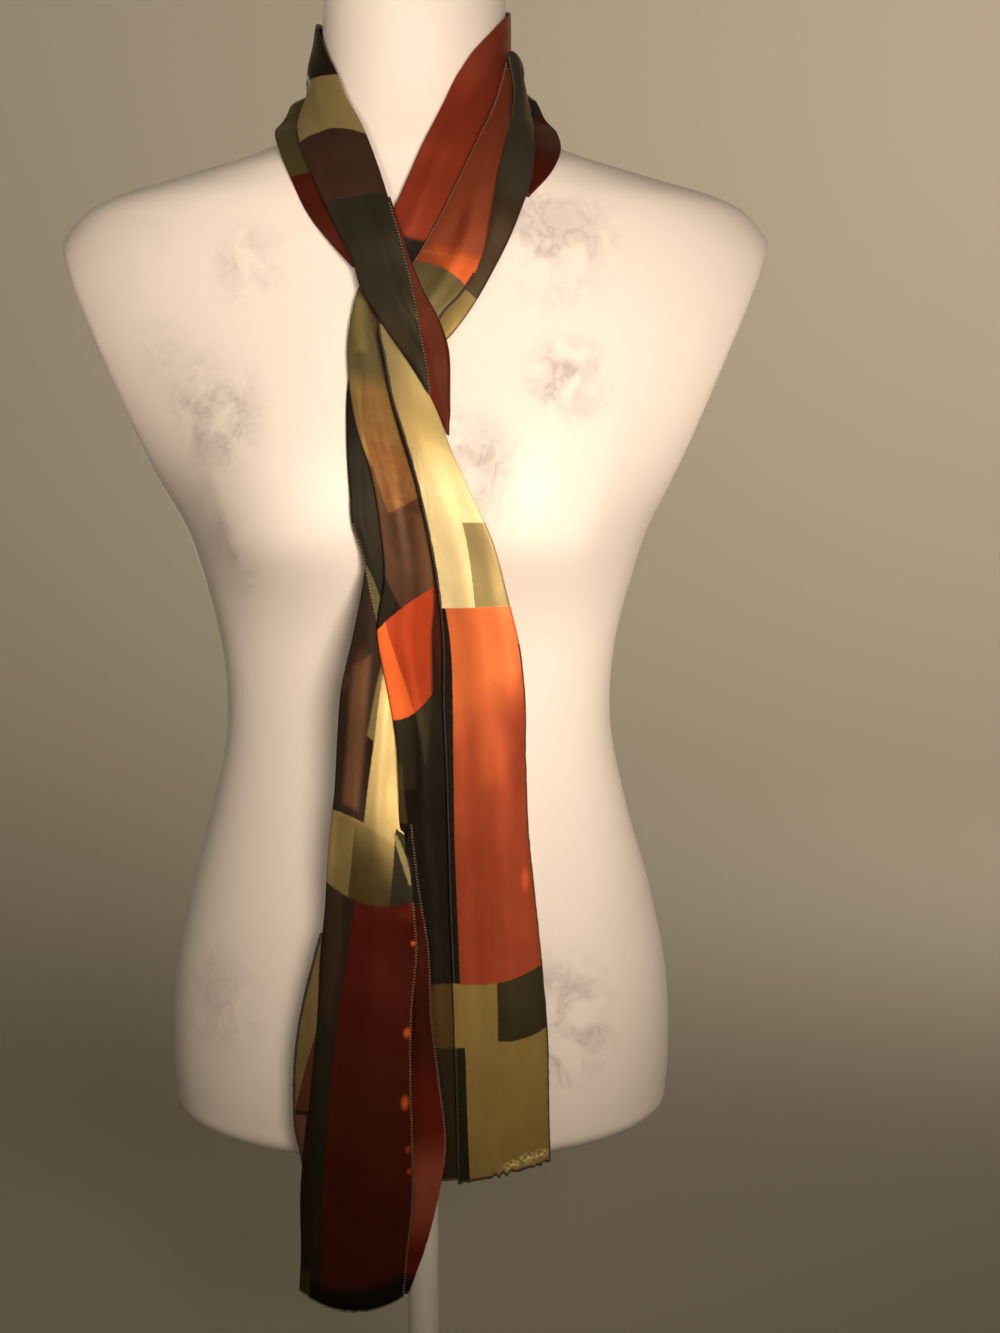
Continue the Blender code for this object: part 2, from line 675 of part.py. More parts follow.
def main():
    start_scene()
    shell = material("form_shell", (0.800, 0.700, 0.610), 0.45)
    enamel = material("white_enamel", (0.800, 0.780, 0.740), 0.35)
    plastic = material("socket_plastic", (0.700, 0.680, 0.640), 0.50)
    add_torso(shell)
    add_stand(enamel, plastic)
    for name, rows in SHEETS.items():
        cloth = material(name + "_cloth", SHEET_COLOURS[name], 0.40)
        add_sheet(name, rows(), HEM_DIPS.get(name, 0), cloth)
    add_turn(material("scarf_turn_cloth", (0.240, 0.035, 0.014), 0.40))


main()
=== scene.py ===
"""The looks of a long printed satin chiffon scarf, wound round the neck of a limbless dress form.

The scarf's cloth is laid on the form in the same way as its solids: each stretch that shows is a sheet
between two edges, settled on the form at its own level in the stack of layers. Here the sheets are fine
and thin, with soft folds, rolled edges, stitched hems and the printed blocks of colour, among which
some blocks and spots are painted shade, painted highlights and painted glints.
Metres, +Z up, the form faces -Y, the origin is under the middle of the stand's base.
"""

import math

import bpy
import numpy as np
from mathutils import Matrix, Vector


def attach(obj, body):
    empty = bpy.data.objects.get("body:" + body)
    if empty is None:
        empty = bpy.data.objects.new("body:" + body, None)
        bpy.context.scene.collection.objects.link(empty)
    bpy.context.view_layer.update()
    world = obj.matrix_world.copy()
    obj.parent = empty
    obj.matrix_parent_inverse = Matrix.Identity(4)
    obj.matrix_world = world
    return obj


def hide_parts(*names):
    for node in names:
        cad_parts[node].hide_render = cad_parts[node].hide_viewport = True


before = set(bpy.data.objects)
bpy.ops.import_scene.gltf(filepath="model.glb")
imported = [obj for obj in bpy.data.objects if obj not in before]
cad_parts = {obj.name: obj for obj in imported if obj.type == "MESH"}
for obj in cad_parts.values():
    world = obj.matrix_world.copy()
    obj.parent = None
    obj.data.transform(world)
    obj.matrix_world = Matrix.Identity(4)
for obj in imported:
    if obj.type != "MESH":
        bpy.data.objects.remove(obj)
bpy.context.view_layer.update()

# ---- Sizes shared with the solids ----------------------------------------------------------------

UNDERSIDE = 0.300  # height of the form's flat underside above the floor
NECK_TOP = 0.752  # height of the neck's top above the underside
ARM_CUT_REACH = 0.2155  # half the width across the shoulders, at the top of the arm cuts
ARM_CUT_HEIGHT = 0.556  # height above the underside where that width is measured
ARM_CUT_LEAN = 0.41  # how far an arm cut moves inwards for each metre down
ARM_CUT_FOOT = 0.400  # height where an arm cut runs out into the side
ARM_CUT_FLARE = 8  # how fast it does so
BUST_HEIGHT = 0.398
BUST_APART = 0.164
BUST_DEPTH = 0.030
BUST_WIDTH = 0.046
BUST_RISE = 0.066
BUST_FALL = 0.032
HANG_FALL = 0.250  # cloth that leaves the bust stays forward this far down
FRONT_FADE = 0.03  # distance in front of the axis over which the bust fades in

POLE_RADIUS = 0.0105
BASE_RADIUS = 0.150
BASE_THICKNESS = 0.012
SOCKET_RADIUS = 0.026
SOCKET_HEIGHT = 0.022

LAYER = 0.002  # from one layer of cloth to the next
REST = 0.001  # from the form to the lowest layer

# The front view that the scarf's edges and print are drawn in: a sheet of 1000 by 1333 points, seen
# from an eye in front of the form, a little to its right, that looks down on it.
SHEET_CENTRE = (500, 667)
SHEET_LONG_SIDE = 1333
SHEET_FOCUS = 2000
EYE_DISTANCE = 1.30
EYE_SIDE = 0.0527
EYE_PITCH = math.radians(10)
AIM_HEIGHT = 0.600
SENSOR = 36.0  # mm, on the long side
SIGHT = (1.05, 1.32, 541)  # nearest and furthest reach of a sight line to the cloth, and its steps

# One row for each section of the form. Columns: height above the underside, half width, depth in
# front, depth behind, and the depth in front at which cloth hangs past it.
FORM_SECTIONS = (
    (0.78, 0.056, 0.056, 0.056, 0.056),
    (0.7, 0.0563, 0.0565, 0.057, 0.0565),
    (0.672, 0.0572, 0.0575, 0.059, 0.0575),
    (0.65, 0.0615, 0.0605, 0.064, 0.0605),
    (0.636, 0.073, 0.064, 0.071, 0.064),
    (0.626, 0.091, 0.067, 0.077, 0.067),
    (0.611, 0.139, 0.07, 0.084, 0.07),
    (0.596, 0.19, 0.074, 0.09, 0.074),
    (0.575, 0.217, 0.079, 0.095, 0.079),
    (0.555, 0.226, 0.082, 0.098, 0.082),
    (0.515, 0.221, 0.087, 0.101, 0.087),
    (0.475, 0.2, 0.091, 0.101, 0.091),
    (0.43, 0.172, 0.094, 0.097, 0.094),
    (0.396, 0.15, 0.0925, 0.092, 0.095),
    (0.36, 0.1375, 0.085, 0.086, 0.0955),
    (0.31, 0.1262, 0.0775, 0.08, 0.096),
    (0.265, 0.1247, 0.0775, 0.079, 0.097),
    (0.211, 0.1355, 0.0865, 0.088, 0.0985),
    (0.152, 0.152, 0.099, 0.102, 0.101),
    (0.1, 0.1625, 0.104, 0.113, 0.105),
    (0.05, 0.1655, 0.1055, 0.117, 0.1065),
    (0.02, 0.164, 0.1045, 0.116, 0.1065),
    (0.006, 0.161, 0.102, 0.113, 0.106),
    (0, 0.154, 0.095, 0.106, 0.106),
    (-0.08, 0.154, 0.095, 0.106, 0.105),
    (-0.2, 0.154, 0.095, 0.106, 0.104),
)


# ---- The form's surface --------------------------------------------------------------------------


def smooth_through(keys, values, at):
    """Values at `at` on the smooth curve that passes through each key's value."""
    keys = np.asarray(keys, float)
    values = np.asarray(values, float)
    slopes = np.gradient(values, keys, axis=0)
    i = np.clip(np.searchsorted(keys, at) - 1, 0, len(keys) - 2)
    span = keys[i + 1] - keys[i]
    t = np.clip((at - keys[i]) / span, 0, 1)
    if values.ndim > 1:
        span = span[..., None]
        t = t[..., None]
    start = (2 * t**3 - 3 * t**2 + 1) * values[i] + (t**3 - 2 * t**2 + t) * span * slopes[i]
    end = (3 * t**2 - 2 * t**3) * values[i + 1] + (t**3 - t**2) * span * slopes[i + 1]
    return start + end


SECTION_TABLE = np.array(FORM_SECTIONS)[::-1]
FINE_HEIGHTS = np.arange(SECTION_TABLE[0, 0], SECTION_TABLE[-1, 0], 0.001)
FINE_SECTIONS = smooth_through(SECTION_TABLE[:, 0], SECTION_TABLE[:, 1:], FINE_HEIGHTS)


def section_at(height):
    """Half width, depth in front, depth behind and hanging depth at heights above the underside."""
    return [np.interp(height, FINE_HEIGHTS, column) for column in FINE_SECTIONS.T]


def bust(x, height, fall):
    """How far the bust stands forward at a place on the front."""
    spread = np.where(height > BUST_HEIGHT, BUST_RISE, fall)
    down = np.exp(-((height - BUST_HEIGHT) ** 2) / (2 * spread**2))
    sides = sum(
        np.exp(-((x - side * BUST_APART / 2) ** 2) / (2 * BUST_WIDTH**2)) for side in (-1, 1)
    )
    return BUST_DEPTH * down * sides


def arm_cut(height):
    """The largest half width that the flat cut at each arm leaves."""
    reach = ARM_CUT_REACH - ARM_CUT_LEAN * (ARM_CUT_HEIGHT - height)
    return reach + ARM_CUT_FLARE * np.clip(ARM_CUT_FOOT - height, 0, None) ** 2


def section_radius(height, angle):
    """The distance from the form's axis to its uncut surface at an angle from the front."""
    half_width, front, back, _ = section_at(height)
    depth = np.where(np.cos(angle) > 0, front, back)
    return ((np.sin(angle) / half_width) ** 2 + (np.cos(angle) / depth) ** 2) ** -0.5


def form_point(height, angle, rim=0.0):
    """A point of the form at a height and an angle; `rim` rounds the edge of the arm cuts."""
    radius = section_radius(height, angle)
    x = radius * np.sin(angle)
    cut = arm_cut(height)
    if rim:
        over = np.logaddexp(0, (np.abs(x) - cut) / rim) * rim
        x = np.sign(x) * (np.abs(x) - over)
    else:
        x = np.clip(x, -cut, cut)
    facing = np.clip(np.cos(angle) * 2, 0, 1)
    y = -radius * np.cos(angle) - facing * bust(x, height, BUST_FALL)
    return np.stack([x, y, np.broadcast_to(height + UNDERSIDE, x.shape)], axis=-1)


def clearance(points):
    """Roughly how far points are outside the body that the cloth lies on or hangs past."""
    x, y = points[..., 0], points[..., 1]
    height = points[..., 2] - UNDERSIDE
    half_width, _, back, hang = section_at(height)
    y = y + np.clip(-y / FRONT_FADE, 0, 1) * bust(x, height, HANG_FALL)
    depth = np.where(y < 0, hang, back)
    scaled = np.hypot(x / half_width, y / depth)
    return np.hypot(x, y) * (1 - 1 / np.maximum(scaled, 1e-6))


def outward(points):
    """The clearance at points, corrected for slope, and the direction in which it grows."""
    step = 0.0005
    here = clearance(points)
    axes = np.eye(3) * step
    slope = np.stack([clearance(points + axis) - clearance(points - axis) for axis in axes], axis=-1)
    slope /= 2 * step
    size = np.linalg.norm(slope, axis=-1, keepdims=True)
    return here / size[..., 0], slope / size


def settle(points, lift):
    """Moves points straight out or in until they are `lift` off the body."""
    for _ in range(6):
        distance, direction = outward(points)
        points = points + direction * (lift - distance)[..., None]
    return points


# ---- Places on the form and in the front view ----------------------------------------------------


def lift_of(level):
    return REST + level * LAYER


EYE = np.array([EYE_SIDE, -EYE_DISTANCE * math.cos(EYE_PITCH), 0.0])
EYE[2] = AIM_HEIGHT + EYE_DISTANCE * math.sin(EYE_PITCH)


def seen(x, y, level):
    """The places at levels of cloth that show at points (x, y) of the front view."""
    x, y, level = (np.asarray(value, float) for value in (x, y, level))
    across = (x - SHEET_CENTRE[0]) / SHEET_FOCUS
    rise = (SHEET_CENTRE[1] - y) / SHEET_FOCUS
    ahead = math.cos(EYE_PITCH) + rise * math.sin(EYE_PITCH)
    up = rise * math.cos(EYE_PITCH) - math.sin(EYE_PITCH)
    sight = np.stack([across, ahead, up], axis=-1)
    points = EYE + np.linspace(*SIGHT)[:, None, None] * sight
    distance = outward(points)[0] - lift_of(level)
    rows = np.arange(len(x))
    first = np.argmax(distance < 0, axis=0)
    nearest = np.argmin(distance, axis=0)
    hit = (distance < 0).any(axis=0) & (first > 0)
    before = np.where(hit, first - 1, nearest)
    after = np.where(hit, first, nearest)
    near, far = distance[before, rows], distance[after, rows]
    share = np.where(hit, near / np.where(hit, near - far, 1), 0)
    return points[before, rows] + share[:, None] * (points[after, rows] - points[before, rows])


def in_front_view(points):
    """Where points of the scene show in the front view, as (x, y)."""
    offset = points - EYE
    ahead = offset[..., 1] * math.cos(EYE_PITCH) - offset[..., 2] * math.sin(EYE_PITCH)
    up = offset[..., 1] * math.sin(EYE_PITCH) + offset[..., 2] * math.cos(EYE_PITCH)
    x = SHEET_CENTRE[0] + SHEET_FOCUS * offset[..., 0] / ahead
    y = SHEET_CENTRE[1] - SHEET_FOCUS * up / ahead
    return np.stack([x, y], axis=-1)


def round_neck(degrees, height, level):
    """The places at levels of cloth at angles from the front and heights above the underside."""
    angle = np.radians(degrees)
    return settle(form_point(np.asarray(height, float), angle), lift_of(np.asarray(level, float)))


# ---- The scarf's edges ---------------------------------------------------------------------------
# Front rows: x, y and level of one edge, then of the other, in the front view.
# Neck rows: degrees from the front, height and level of one edge, then of the other.


def front_rows(table):
    rows = np.array(table, float)
    return seen(*rows[:, :3].T), seen(*rows[:, 3:].T), rows[:, [2, 5]]


def neck_rows(table):
    rows = np.array(table, float)
    return round_neck(*rows[:, :3].T), round_neck(*rows[:, 3:].T), rows[:, [2, 5]]


def chain(*stretches):
    """Rows of one sheet from those of its stretches, end to end."""
    return [np.concatenate(columns) for columns in zip(*stretches)]


OVER_LEFT = (
    (430, 395, 5, 425, 388, 5),
    (428, 372, 5, 408, 362, 5),
    (422, 340, 5, 386, 330, 5),
    (413, 290, 5, 361, 290, 5),
    (402, 245, 5, 352, 260, 5),
    (389, 200, 5, 333, 222, 4.4),
    (376, 160, 4.2, 316, 184, 3.8),
    (363, 127, 3.4, 302, 150, 3.6),
    (345, 95, 2.4, 298, 122, 3.6),
    (331, 62, 1.4, 301, 94, 3.6),
)
OVER_NECK = (
    (-80, 0.696, 1.2, -96, 0.658, 3.6),
    (-92, 0.701, 1.6, -101, 0.661, 3),
    (-125, 0.7, 2.6, -130, 0.648, 2.6),
    (-178, 0.696, 2.6, -180, 0.642, 2.4),
    (-225, 0.694, 2.6, -230, 0.646, 2.6),
    (-262, 0.678, 3.2, -262, 0.661, 3.6),
)
OVER_RIGHT = (
    (508, 54, 3, 520, 70, 4.6),
    (513, 88, 3.2, 527, 98, 4.4),
    (511, 114, 2.8, 531, 118, 3.6),
    (503, 136, 1.8, 534, 142, 2.9),
    (493, 162, 1.8, 533, 174, 2.2),
    (484, 190, 2.1, 522, 208, 2.1),
    (474, 222, 2, 510, 238, 2),
    (458, 256, 2, 494, 270, 2),
    (444, 284, 2, 476, 302, 2),
    (432, 310, 2, 458, 328, 2),
    (426, 334, 2, 444, 344, 2),
)
SHOULDER_LEFT = (
    (366, 262, 4, 353, 268, 3.4),
    (356, 238, 3.6, 330, 243, 2),
    (343, 210, 2.6, 307, 213, 0.8),
    (328, 180, 2, 292, 182, 0.5),
    (318, 150, 1.8, 281, 156, 1.2),
    (309, 120, 1.8, 278, 126, 4.8),
    (303, 98, 1.8, 286, 104, 6.6),
)
SHOULDER_NECK = (
    (-101, 0.664, 0.6, -101, 0.648, 4.6),
    (-130, 0.672, 0.4, -130, 0.622, 0.7),
    (-180, 0.678, 0.6, -180, 0.612, 0.7),
    (-228, 0.674, 0.3, -228, 0.622, 0.7),
    (-256, 0.664, 0.4, -256, 0.648, 4.8),
)
SHOULDER_RIGHT = (
    (518, 90, 1.8, 543, 102, 7),
    (521, 110, 1.6, 553, 122, 5.4),
    (522, 136, 1, 561, 147, 1.6),
    (514, 164, 0.8, 550, 174, 0.5),
    (504, 190, 0.6, 529, 197, 0.4),
)
INNER_NECK = (
    (-118, 0.696, 1.6, -118, 0.672, 1.6),
    (-145, 0.702, 1.5, -145, 0.66, 1.6),
    (-180, 0.708, 1.5, -180, 0.656, 1.6),
    (-225, 0.711, 1.5, -225, 0.662, 1.6),
    (-265, 0.7085, 1.2, -265, 0.669, 1.2),
)
INNER_RIGHT = (
    (501, 24, 1.1, 507, 70, 1.1),
    (480, 45, 1.1, 506, 92, 1.1),
    (460, 72, 1.2, 499, 120, 1.2),
    (443, 105, 1.4, 488, 148, 1.4),
    (420, 150, 1.7, 470, 192, 1.7),
    (398, 200, 2, 448, 240, 2),
    (378, 245, 2, 430, 280, 2),
    (358, 290, 2, 420, 315, 2),
    (348, 340, 2, 418, 352, 2),
    (349, 380, 2, 420, 392, 2),
    (356, 425, 2, 424, 440, 2),
    (371, 475, 2, 432, 490, 2),
    (380, 530, 2, 445, 545, 2),
    (384, 580, 2, 454, 600, 2),
    (377, 627, 2, 460, 640, 2),
    (385, 680, 2, 464, 690, 2),
    (396, 740, 2, 468, 750, 2),
    (399, 790, 2, 470, 800, 1.8),
    (400, 830, 1.4, 472, 845, 0.9),
    (408, 880, 0.2, 474, 890, 0.2),
    (412, 940, 0, 476, 945, 0),
    (416, 1010, 0, 480, 1010, 0),
    (424, 1080, 0, 484, 1080, 0),
    (432, 1140, 0, 488, 1135, 0),
    (436, 1182, 0, 490, 1176, 0),
)
RIGHT_FRONT = (
    (505, 64, 2.1, 511, 78, 2.1),
    (500, 86, 2.2, 514, 98, 2),
    (494, 104, 2.3, 512, 119, 2.2),
    (486, 122, 2.6, 506, 138, 3.1),
    (477, 140, 2.9, 499, 166, 3.4),
    (452, 192, 3, 491, 212, 3.1),
    (427, 240, 3, 481, 262, 3),
    (400, 284, 3, 462, 294, 3),
    (379, 318, 3, 441, 318, 3),
    (384, 360, 3.2, 436, 358, 3),
    (391, 398, 3.6, 437, 396, 3),
    (404, 440, 3.8, 446, 436, 3),
    (418, 490, 3.8, 469, 490, 3),
    (430, 545, 3.8, 492, 540, 3),
    (439, 600, 3.6, 508, 598, 3),
    (443, 650, 3.4, 520, 648, 3),
    (443, 700, 3, 525, 698, 3),
    (446, 770, 3, 526, 765, 3),
    (448, 840, 2.4, 529, 835, 2),
    (450, 910, 1.6, 536, 905, 1.2),
    (453, 985, 1.2, 543, 975, 0.8),
    (455, 1050, 1.2, 548, 1045, 0.8),
    (457, 1120, 1.2, 549, 1110, 0.8),
    (458, 1184, 1.2, 550, 1160, 0.8),
)
LEFT_UNDER = (
    (378, 202, 4, 390, 197, 4),
    (385, 250, 4, 404, 240, 4),
    (398, 292, 4, 422, 288, 4),
    (404, 330, 4, 440, 322, 4),
    (412, 358, 4, 449, 350, 4),
    (424, 384, 4, 450, 395, 4),
    (436, 408, 4, 450, 412, 4),
    (442, 422, 4, 449, 425, 4),
    (447, 435, 4, 449, 436, 4),
)
BEHIND = (
    (352, 356, 1, 442, 352, 1),
    (347, 395, 1, 443, 395, 1),
    (347, 449, 1, 442, 436, 1),
    (350, 495, 1, 434, 490, 1),
    (352, 523, 1, 426, 520, 1),
    (363, 557, 1, 416, 556, 1),
    (369, 590, 1, 409, 590, 1),
    (377, 624, 1, 402, 624, 1),
)
TAIL_FRONT = (
    (368, 548, 0, 402, 552, 0),
    (362, 590, 0, 404, 592, 0),
    (352, 640, 0, 406, 640, 0),
    (341, 690, 0, 406, 692, 0),
    (337, 742, 0, 405, 745, 0),
    (334, 795, 0.2, 402, 796, 0.2),
    (330, 830, 1, 404, 831, 1),
    (327, 868, 2.4, 411, 868, 2.2),
    (325, 905, 2.6, 414, 905, 3),
    (321, 950, 2.6, 417, 948, 2.8),
    (318, 1010, 2.6, 412, 1010, 2.8),
    (312, 1080, 2.6, 411, 1080, 2.8),
    (305, 1140, 2.6, 413, 1145, 2.8),
    (300, 1200, 2.6, 413, 1205, 2.8),
    (301, 1250, 2.6, 408, 1252, 2.8),
    (299, 1290, 2.6, 404, 1297, 2.8),
)
TAIL_FLAP = (
    (409, 824, 2.4, 412, 826, 2.4),
    (404, 862, 1.8, 416, 862, 1.8),
    (400, 900, 1.6, 421, 900, 1.6),
    (398, 952, 1.4, 429, 950, 1.4),
    (394, 1020, 1.4, 432, 1020, 1.4),
    (392, 1085, 1.4, 440, 1085, 1.4),
    (390, 1145, 1.4, 446, 1145, 1.4),
    (388, 1200, 1.4, 438, 1199, 1.4),
    (386, 1250, 1.4, 425, 1249, 1.4),
    (384, 1286, 1.4, 409, 1293, 1.4),
)
TAIL_BACK = (
    (320, 934, 1.8, 344, 934, 1.8),
    (310, 972, 1.8, 348, 972, 1.8),
    (301, 1010, 1.8, 350, 1010, 1.8),
    (295, 1050, 1.8, 350, 1050, 1.8),
    (293, 1090, 1.8, 350, 1090, 1.8),
    (295, 1132, 1.8, 350, 1132, 1.8),
    (301, 1160, 1.8, 350, 1160, 1.8),
    (306, 1210, 1.75, 352, 1210, 1.75),
    (308, 1284, 1.75, 354, 1288, 1.75),
)


# ---- Laying a sheet ------------------------------------------------------------------------------

STEP_ALONG = 0.0025  # between two sections of a sheet
STEP_ACROSS = 0.0016  # between two points of a section
CLOTH = 0.00035  # thickness of the chiffon
LIP_POINTS = 6  # points round a folded edge
TUCK = 0.004  # cloth that runs back under a folded edge
DIP_REACH = 0.060  # length of cloth over which a hem's dip fades out
LIP = 0.0006  # usual radius of a folded edge
LIP_LIMIT = 0.3  # the largest share of the width that a folded edge takes up
RUFFLE_SIZE = 0.045  # length of the cloth's slight unevenness
FOLD_SWAY = 0.10  # how far a fold's line sways, as a share of its half width
PUCKER_FADE = 0.04  # share of an edge over which its puckers fade in and out
WAVE_COUNT = 7
EDGE_ON = 0.02  # cloth that faces the eye less than this is taken as turned away
UNSEEN = 1e6


def unit(vectors):
    return vectors / np.maximum(np.linalg.norm(vectors, axis=-1, keepdims=True), 1e-12)


def run_of(points):
    """The distance along a line of points at each of them."""
    return np.concatenate([[0], np.cumsum(np.linalg.norm(np.diff(points, axis=0), axis=1))])


def waves(u, v, size, seed):
    """Smooth unevenness between about -1 and 1, with waves of about `size` metres."""
    chance = np.random.default_rng(seed)
    total = np.zeros(np.broadcast(u, v).shape)
    for _ in range(WAVE_COUNT):
        turn = chance.uniform(0, math.pi)
        length = size * chance.uniform(0.6, 1.9)
        phase = chance.uniform(0, 2 * math.pi)
        total += np.sin(2 * math.pi / length * (u * math.cos(turn) + v * math.sin(turn)) + phase)
    return total / (WAVE_COUNT / 2)


def folds_on(shares, along, length, width, folds):
    """Height of soft lengthwise folds. A fold's columns: share across at its start and end, half
    width and height in mm, and where it starts and ends as shares of the length."""
    height = np.zeros(np.broadcast(shares, along).shape)
    for start, end, half_width, rise, first, last in folds:
        part = np.clip((along / length - first) / (last - first), 0, 1)
        middle = start + (end - start) * part
        bend = FOLD_SWAY * np.sin(9 * part + 17 * start) * (1 - part) * part * 4
        away = (shares - middle - bend * half_width / 1000 / width) * width / (half_width / 1000)
        fade = np.sin(math.pi * part) ** 0.6
        height += rise / 1000 * np.exp(-(away**2)) * fade
    return height


def puckers_on(across, along, width, length, puckers):
    """Height of the small waves that a hem gathers. A pucker's columns: edge, height, reach and pitch
    in mm, and where it starts and ends as shares of its edge."""
    height = np.zeros(np.broadcast(across, along).shape)
    for edge, rise, reach, pitch, first, last in puckers:
        if edge == "last":
            away = length - along
            run = across
            share = across / width + 0.5
        else:
            away = width / 2 + (-across if edge else across)
            run = along
            share = along / length
        away = away / (reach / 1000)
        turn = 2 * math.pi * run / (pitch / 1000) / (1 + 0.25 * np.clip(away, 0, 2))
        # Waves of uneven length, then of uneven height.
        wave = np.sin(turn + 1.7 * np.sin(0.31 * turn + first))
        wave = wave * (0.7 + 0.5 * np.sin(0.23 * turn + rise))
        window = np.clip((share - first) / PUCKER_FADE, 0, 1)
        window = window * np.clip((last - share) / PUCKER_FADE, 0, 1)
        height += rise / 1000 * wave * np.exp(-np.clip(away, 0, None)) * window
    return height


def lip_radius(lip, share, width):
    """The radius of a folded edge: one number, or shares of its length and the radius at each."""
    if np.ndim(lip):
        lip = np.interp(share, *lip)
    return np.minimum(lip, LIP_LIMIT * width)


def square_to(way, away):
    """The directions nearest to `away` that are square to `way`."""
    return unit(away - way * (away * way).sum(axis=-1, keepdims=True))


class Sheet:
    """A laid sheet: its points, the way out of the body at each, and its cloth coordinates."""

    def __init__(
        self, rows, seed, folds=(), puckers=(), lips=(LIP, LIP), crown=0.0, ruffle=0.0004, dip=0.0
    ):
        first, second, levels = rows
        keys = run_of((first + second) / 2)
        self.length = keys[-1]
        stations = np.linspace(0, keys[-1], max(6, 1 + round(keys[-1] / STEP_ALONG)))
        first = smooth_through(keys, first, stations)
        second = smooth_through(keys, second, stations)
        levels = smooth_through(keys, levels, stations)
        width = np.linalg.norm(second - first, axis=1)
        count = max(6, 1 + round(width.max() / STEP_ACROSS))
        lips = [lip_radius(lip, stations / keys[-1], width) for lip in lips]
        start = (lips[0] / width)[:, None]
        stop = 1 - (lips[1] / width)[:, None]
        shares = start + (stop - start) * np.linspace(0, 1, count)
        flat = first[:, None] + shares[..., None] * (second - first)[:, None]
        level = levels[:, :1] + shares * (levels[:, 1:] - levels[:, :1])
        points = settle(flat.reshape(-1, 3), lift_of(level.ravel())).reshape(flat.shape)
        away = outward(points)[1]
        along = stations[:, None]
        across = (shares - 0.5) * width[:, None]
        height = folds_on(shares, along, self.length, width[:, None], folds)
        height = height + crown * np.sqrt(np.clip(1 - (2 * shares - 1) ** 2, 0, 1))
        height = height + ruffle * waves(across, along, RUFFLE_SIZE, seed)
        height = height + puckers_on(across, along, width[:, None], self.length, puckers)
        points = points + away * height[..., None]
        fade = np.clip(1 - (keys[-1] - stations) / DIP_REACH, 0, 1) ** 2
        points[..., 2] -= dip * fade[:, None] * 4 * shares * (1 - shares)
        ends = [pucker for pucker in puckers if pucker[0] == "last"]
        points[..., 2] += 0.5 * puckers_on(across + 0.002, along, width[:, None], self.length, ends)
        self.points, self.away = points, away
        self.across, self.along = across, np.broadcast_to(along, across.shape)
        self.width = width
        self.lips = lips
        self.view = in_front_view(points)
        self.facing = (away * unit(EYE - points)).sum(axis=-1) > EDGE_ON

    def side_out(self, side):
        """The edge's points on a side, the way out of the cloth across it, and the way off the body."""
        edge = self.points[:, -1 if side else 0]
        near = self.points[:, -3 if side else 2]
        out = unit(edge - near)
        return edge, out, square_to(out, self.away[:, -1 if side else 0])

    def with_lips(self):
        """Points and cloth coordinates with the folded edges on both sides."""
        points, across = [self.points], [self.across]
        for side in (0, 1):
            edge, out, away = self.side_out(side)
            radius = self.lips[side][:, None]
            sign = 1 if side else -1
            at = self.across[:, -1 if side else 0]
            turned, cloth = [], []
            for t in np.linspace(0, math.pi, LIP_POINTS)[1:]:
                turned.append(edge + out * radius * math.sin(t) - away * radius * (1 - math.cos(t)))
                cloth.append(at + sign * radius[:, 0] * t)
            for back in (TUCK / 3, TUCK):
                inwards = np.minimum(back, LIP_LIMIT * self.width[:, None])
                turned.append(edge - out * inwards - away * 2 * radius)
                cloth.append(at + sign * (radius[:, 0] * math.pi + back))
            if side:
                points.append(np.stack(turned, axis=1))
                across.append(np.stack(cloth, axis=1))
            else:
                points.insert(0, np.stack(turned[::-1], axis=1))
                across.insert(0, np.stack(cloth[::-1], axis=1))
        points = np.concatenate(points, axis=1)
        across = np.concatenate(across, axis=1)
        return points, across, np.broadcast_to(self.along[:, :1], across.shape)

    def find(self, x, y):
        """Cloth coordinates, across and along, of the place that shows at (x, y) in the front view."""
        gap = np.hypot(self.view[..., 0] - x, self.view[..., 1] - y)
        gap = np.where(self.facing, gap, UNSEEN)
        gap[[0, -1]] = UNSEEN
        gap[:, [0, -1]] = UNSEEN
        i, j = np.unravel_index(np.argmin(gap), gap.shape)
        down = (self.view[i + 1, j] - self.view[i - 1, j]) / 2
        right = (self.view[i, j + 1] - self.view[i, j - 1]) / 2
        rest = np.array([x, y]) - self.view[i, j]
        rows, columns = np.linalg.solve(np.stack([down, right], axis=1), rest)
        u = self.across[i, j] + columns * (self.across[i, j + 1] - self.across[i, j - 1]) / 2
        u += rows * (self.across[i + 1, j] - self.across[i - 1, j]) / 2
        v = self.along[i, j] + rows * (self.along[i + 1, j] - self.along[i - 1, j]) / 2
        return u, v


# ---- Meshes --------------------------------------------------------------------------------------


def grid_faces(rows, columns, closed=False):
    """Faces between rows of points, each row a ring where `closed` is set."""
    row = np.arange(rows - 1)[:, None]
    column = np.arange(columns if closed else columns - 1)[None]
    a = row * columns + column
    b = row * columns + (column + 1) % columns
    return np.stack([a, b, b + columns, a + columns], axis=-1).reshape(-1, 4)


def tube_faces(rows, columns):
    """Faces of a tube of rings, with a cap over each end."""
    faces = [tuple(face) for face in grid_faces(rows, columns, closed=True)]
    last = (rows - 1) * columns
    return faces + [tuple(range(columns))[::-1], tuple(range(last, last + columns))]


def turned_rings(profile, steps):
    """Rings of points round the axis, from a profile of (radius, height)."""
    turn = np.linspace(0, 2 * math.pi, steps, endpoint=False)
    radius, height = (column[:, None] for column in np.array(profile).T)
    height = np.broadcast_to(height, (len(profile), steps))
    return np.stack([radius * np.cos(turn), radius * np.sin(turn), height], axis=-1)


def add_object(name, data):
    made = bpy.data.objects.new(name, data)
    bpy.context.scene.collection.objects.link(made)
    return made


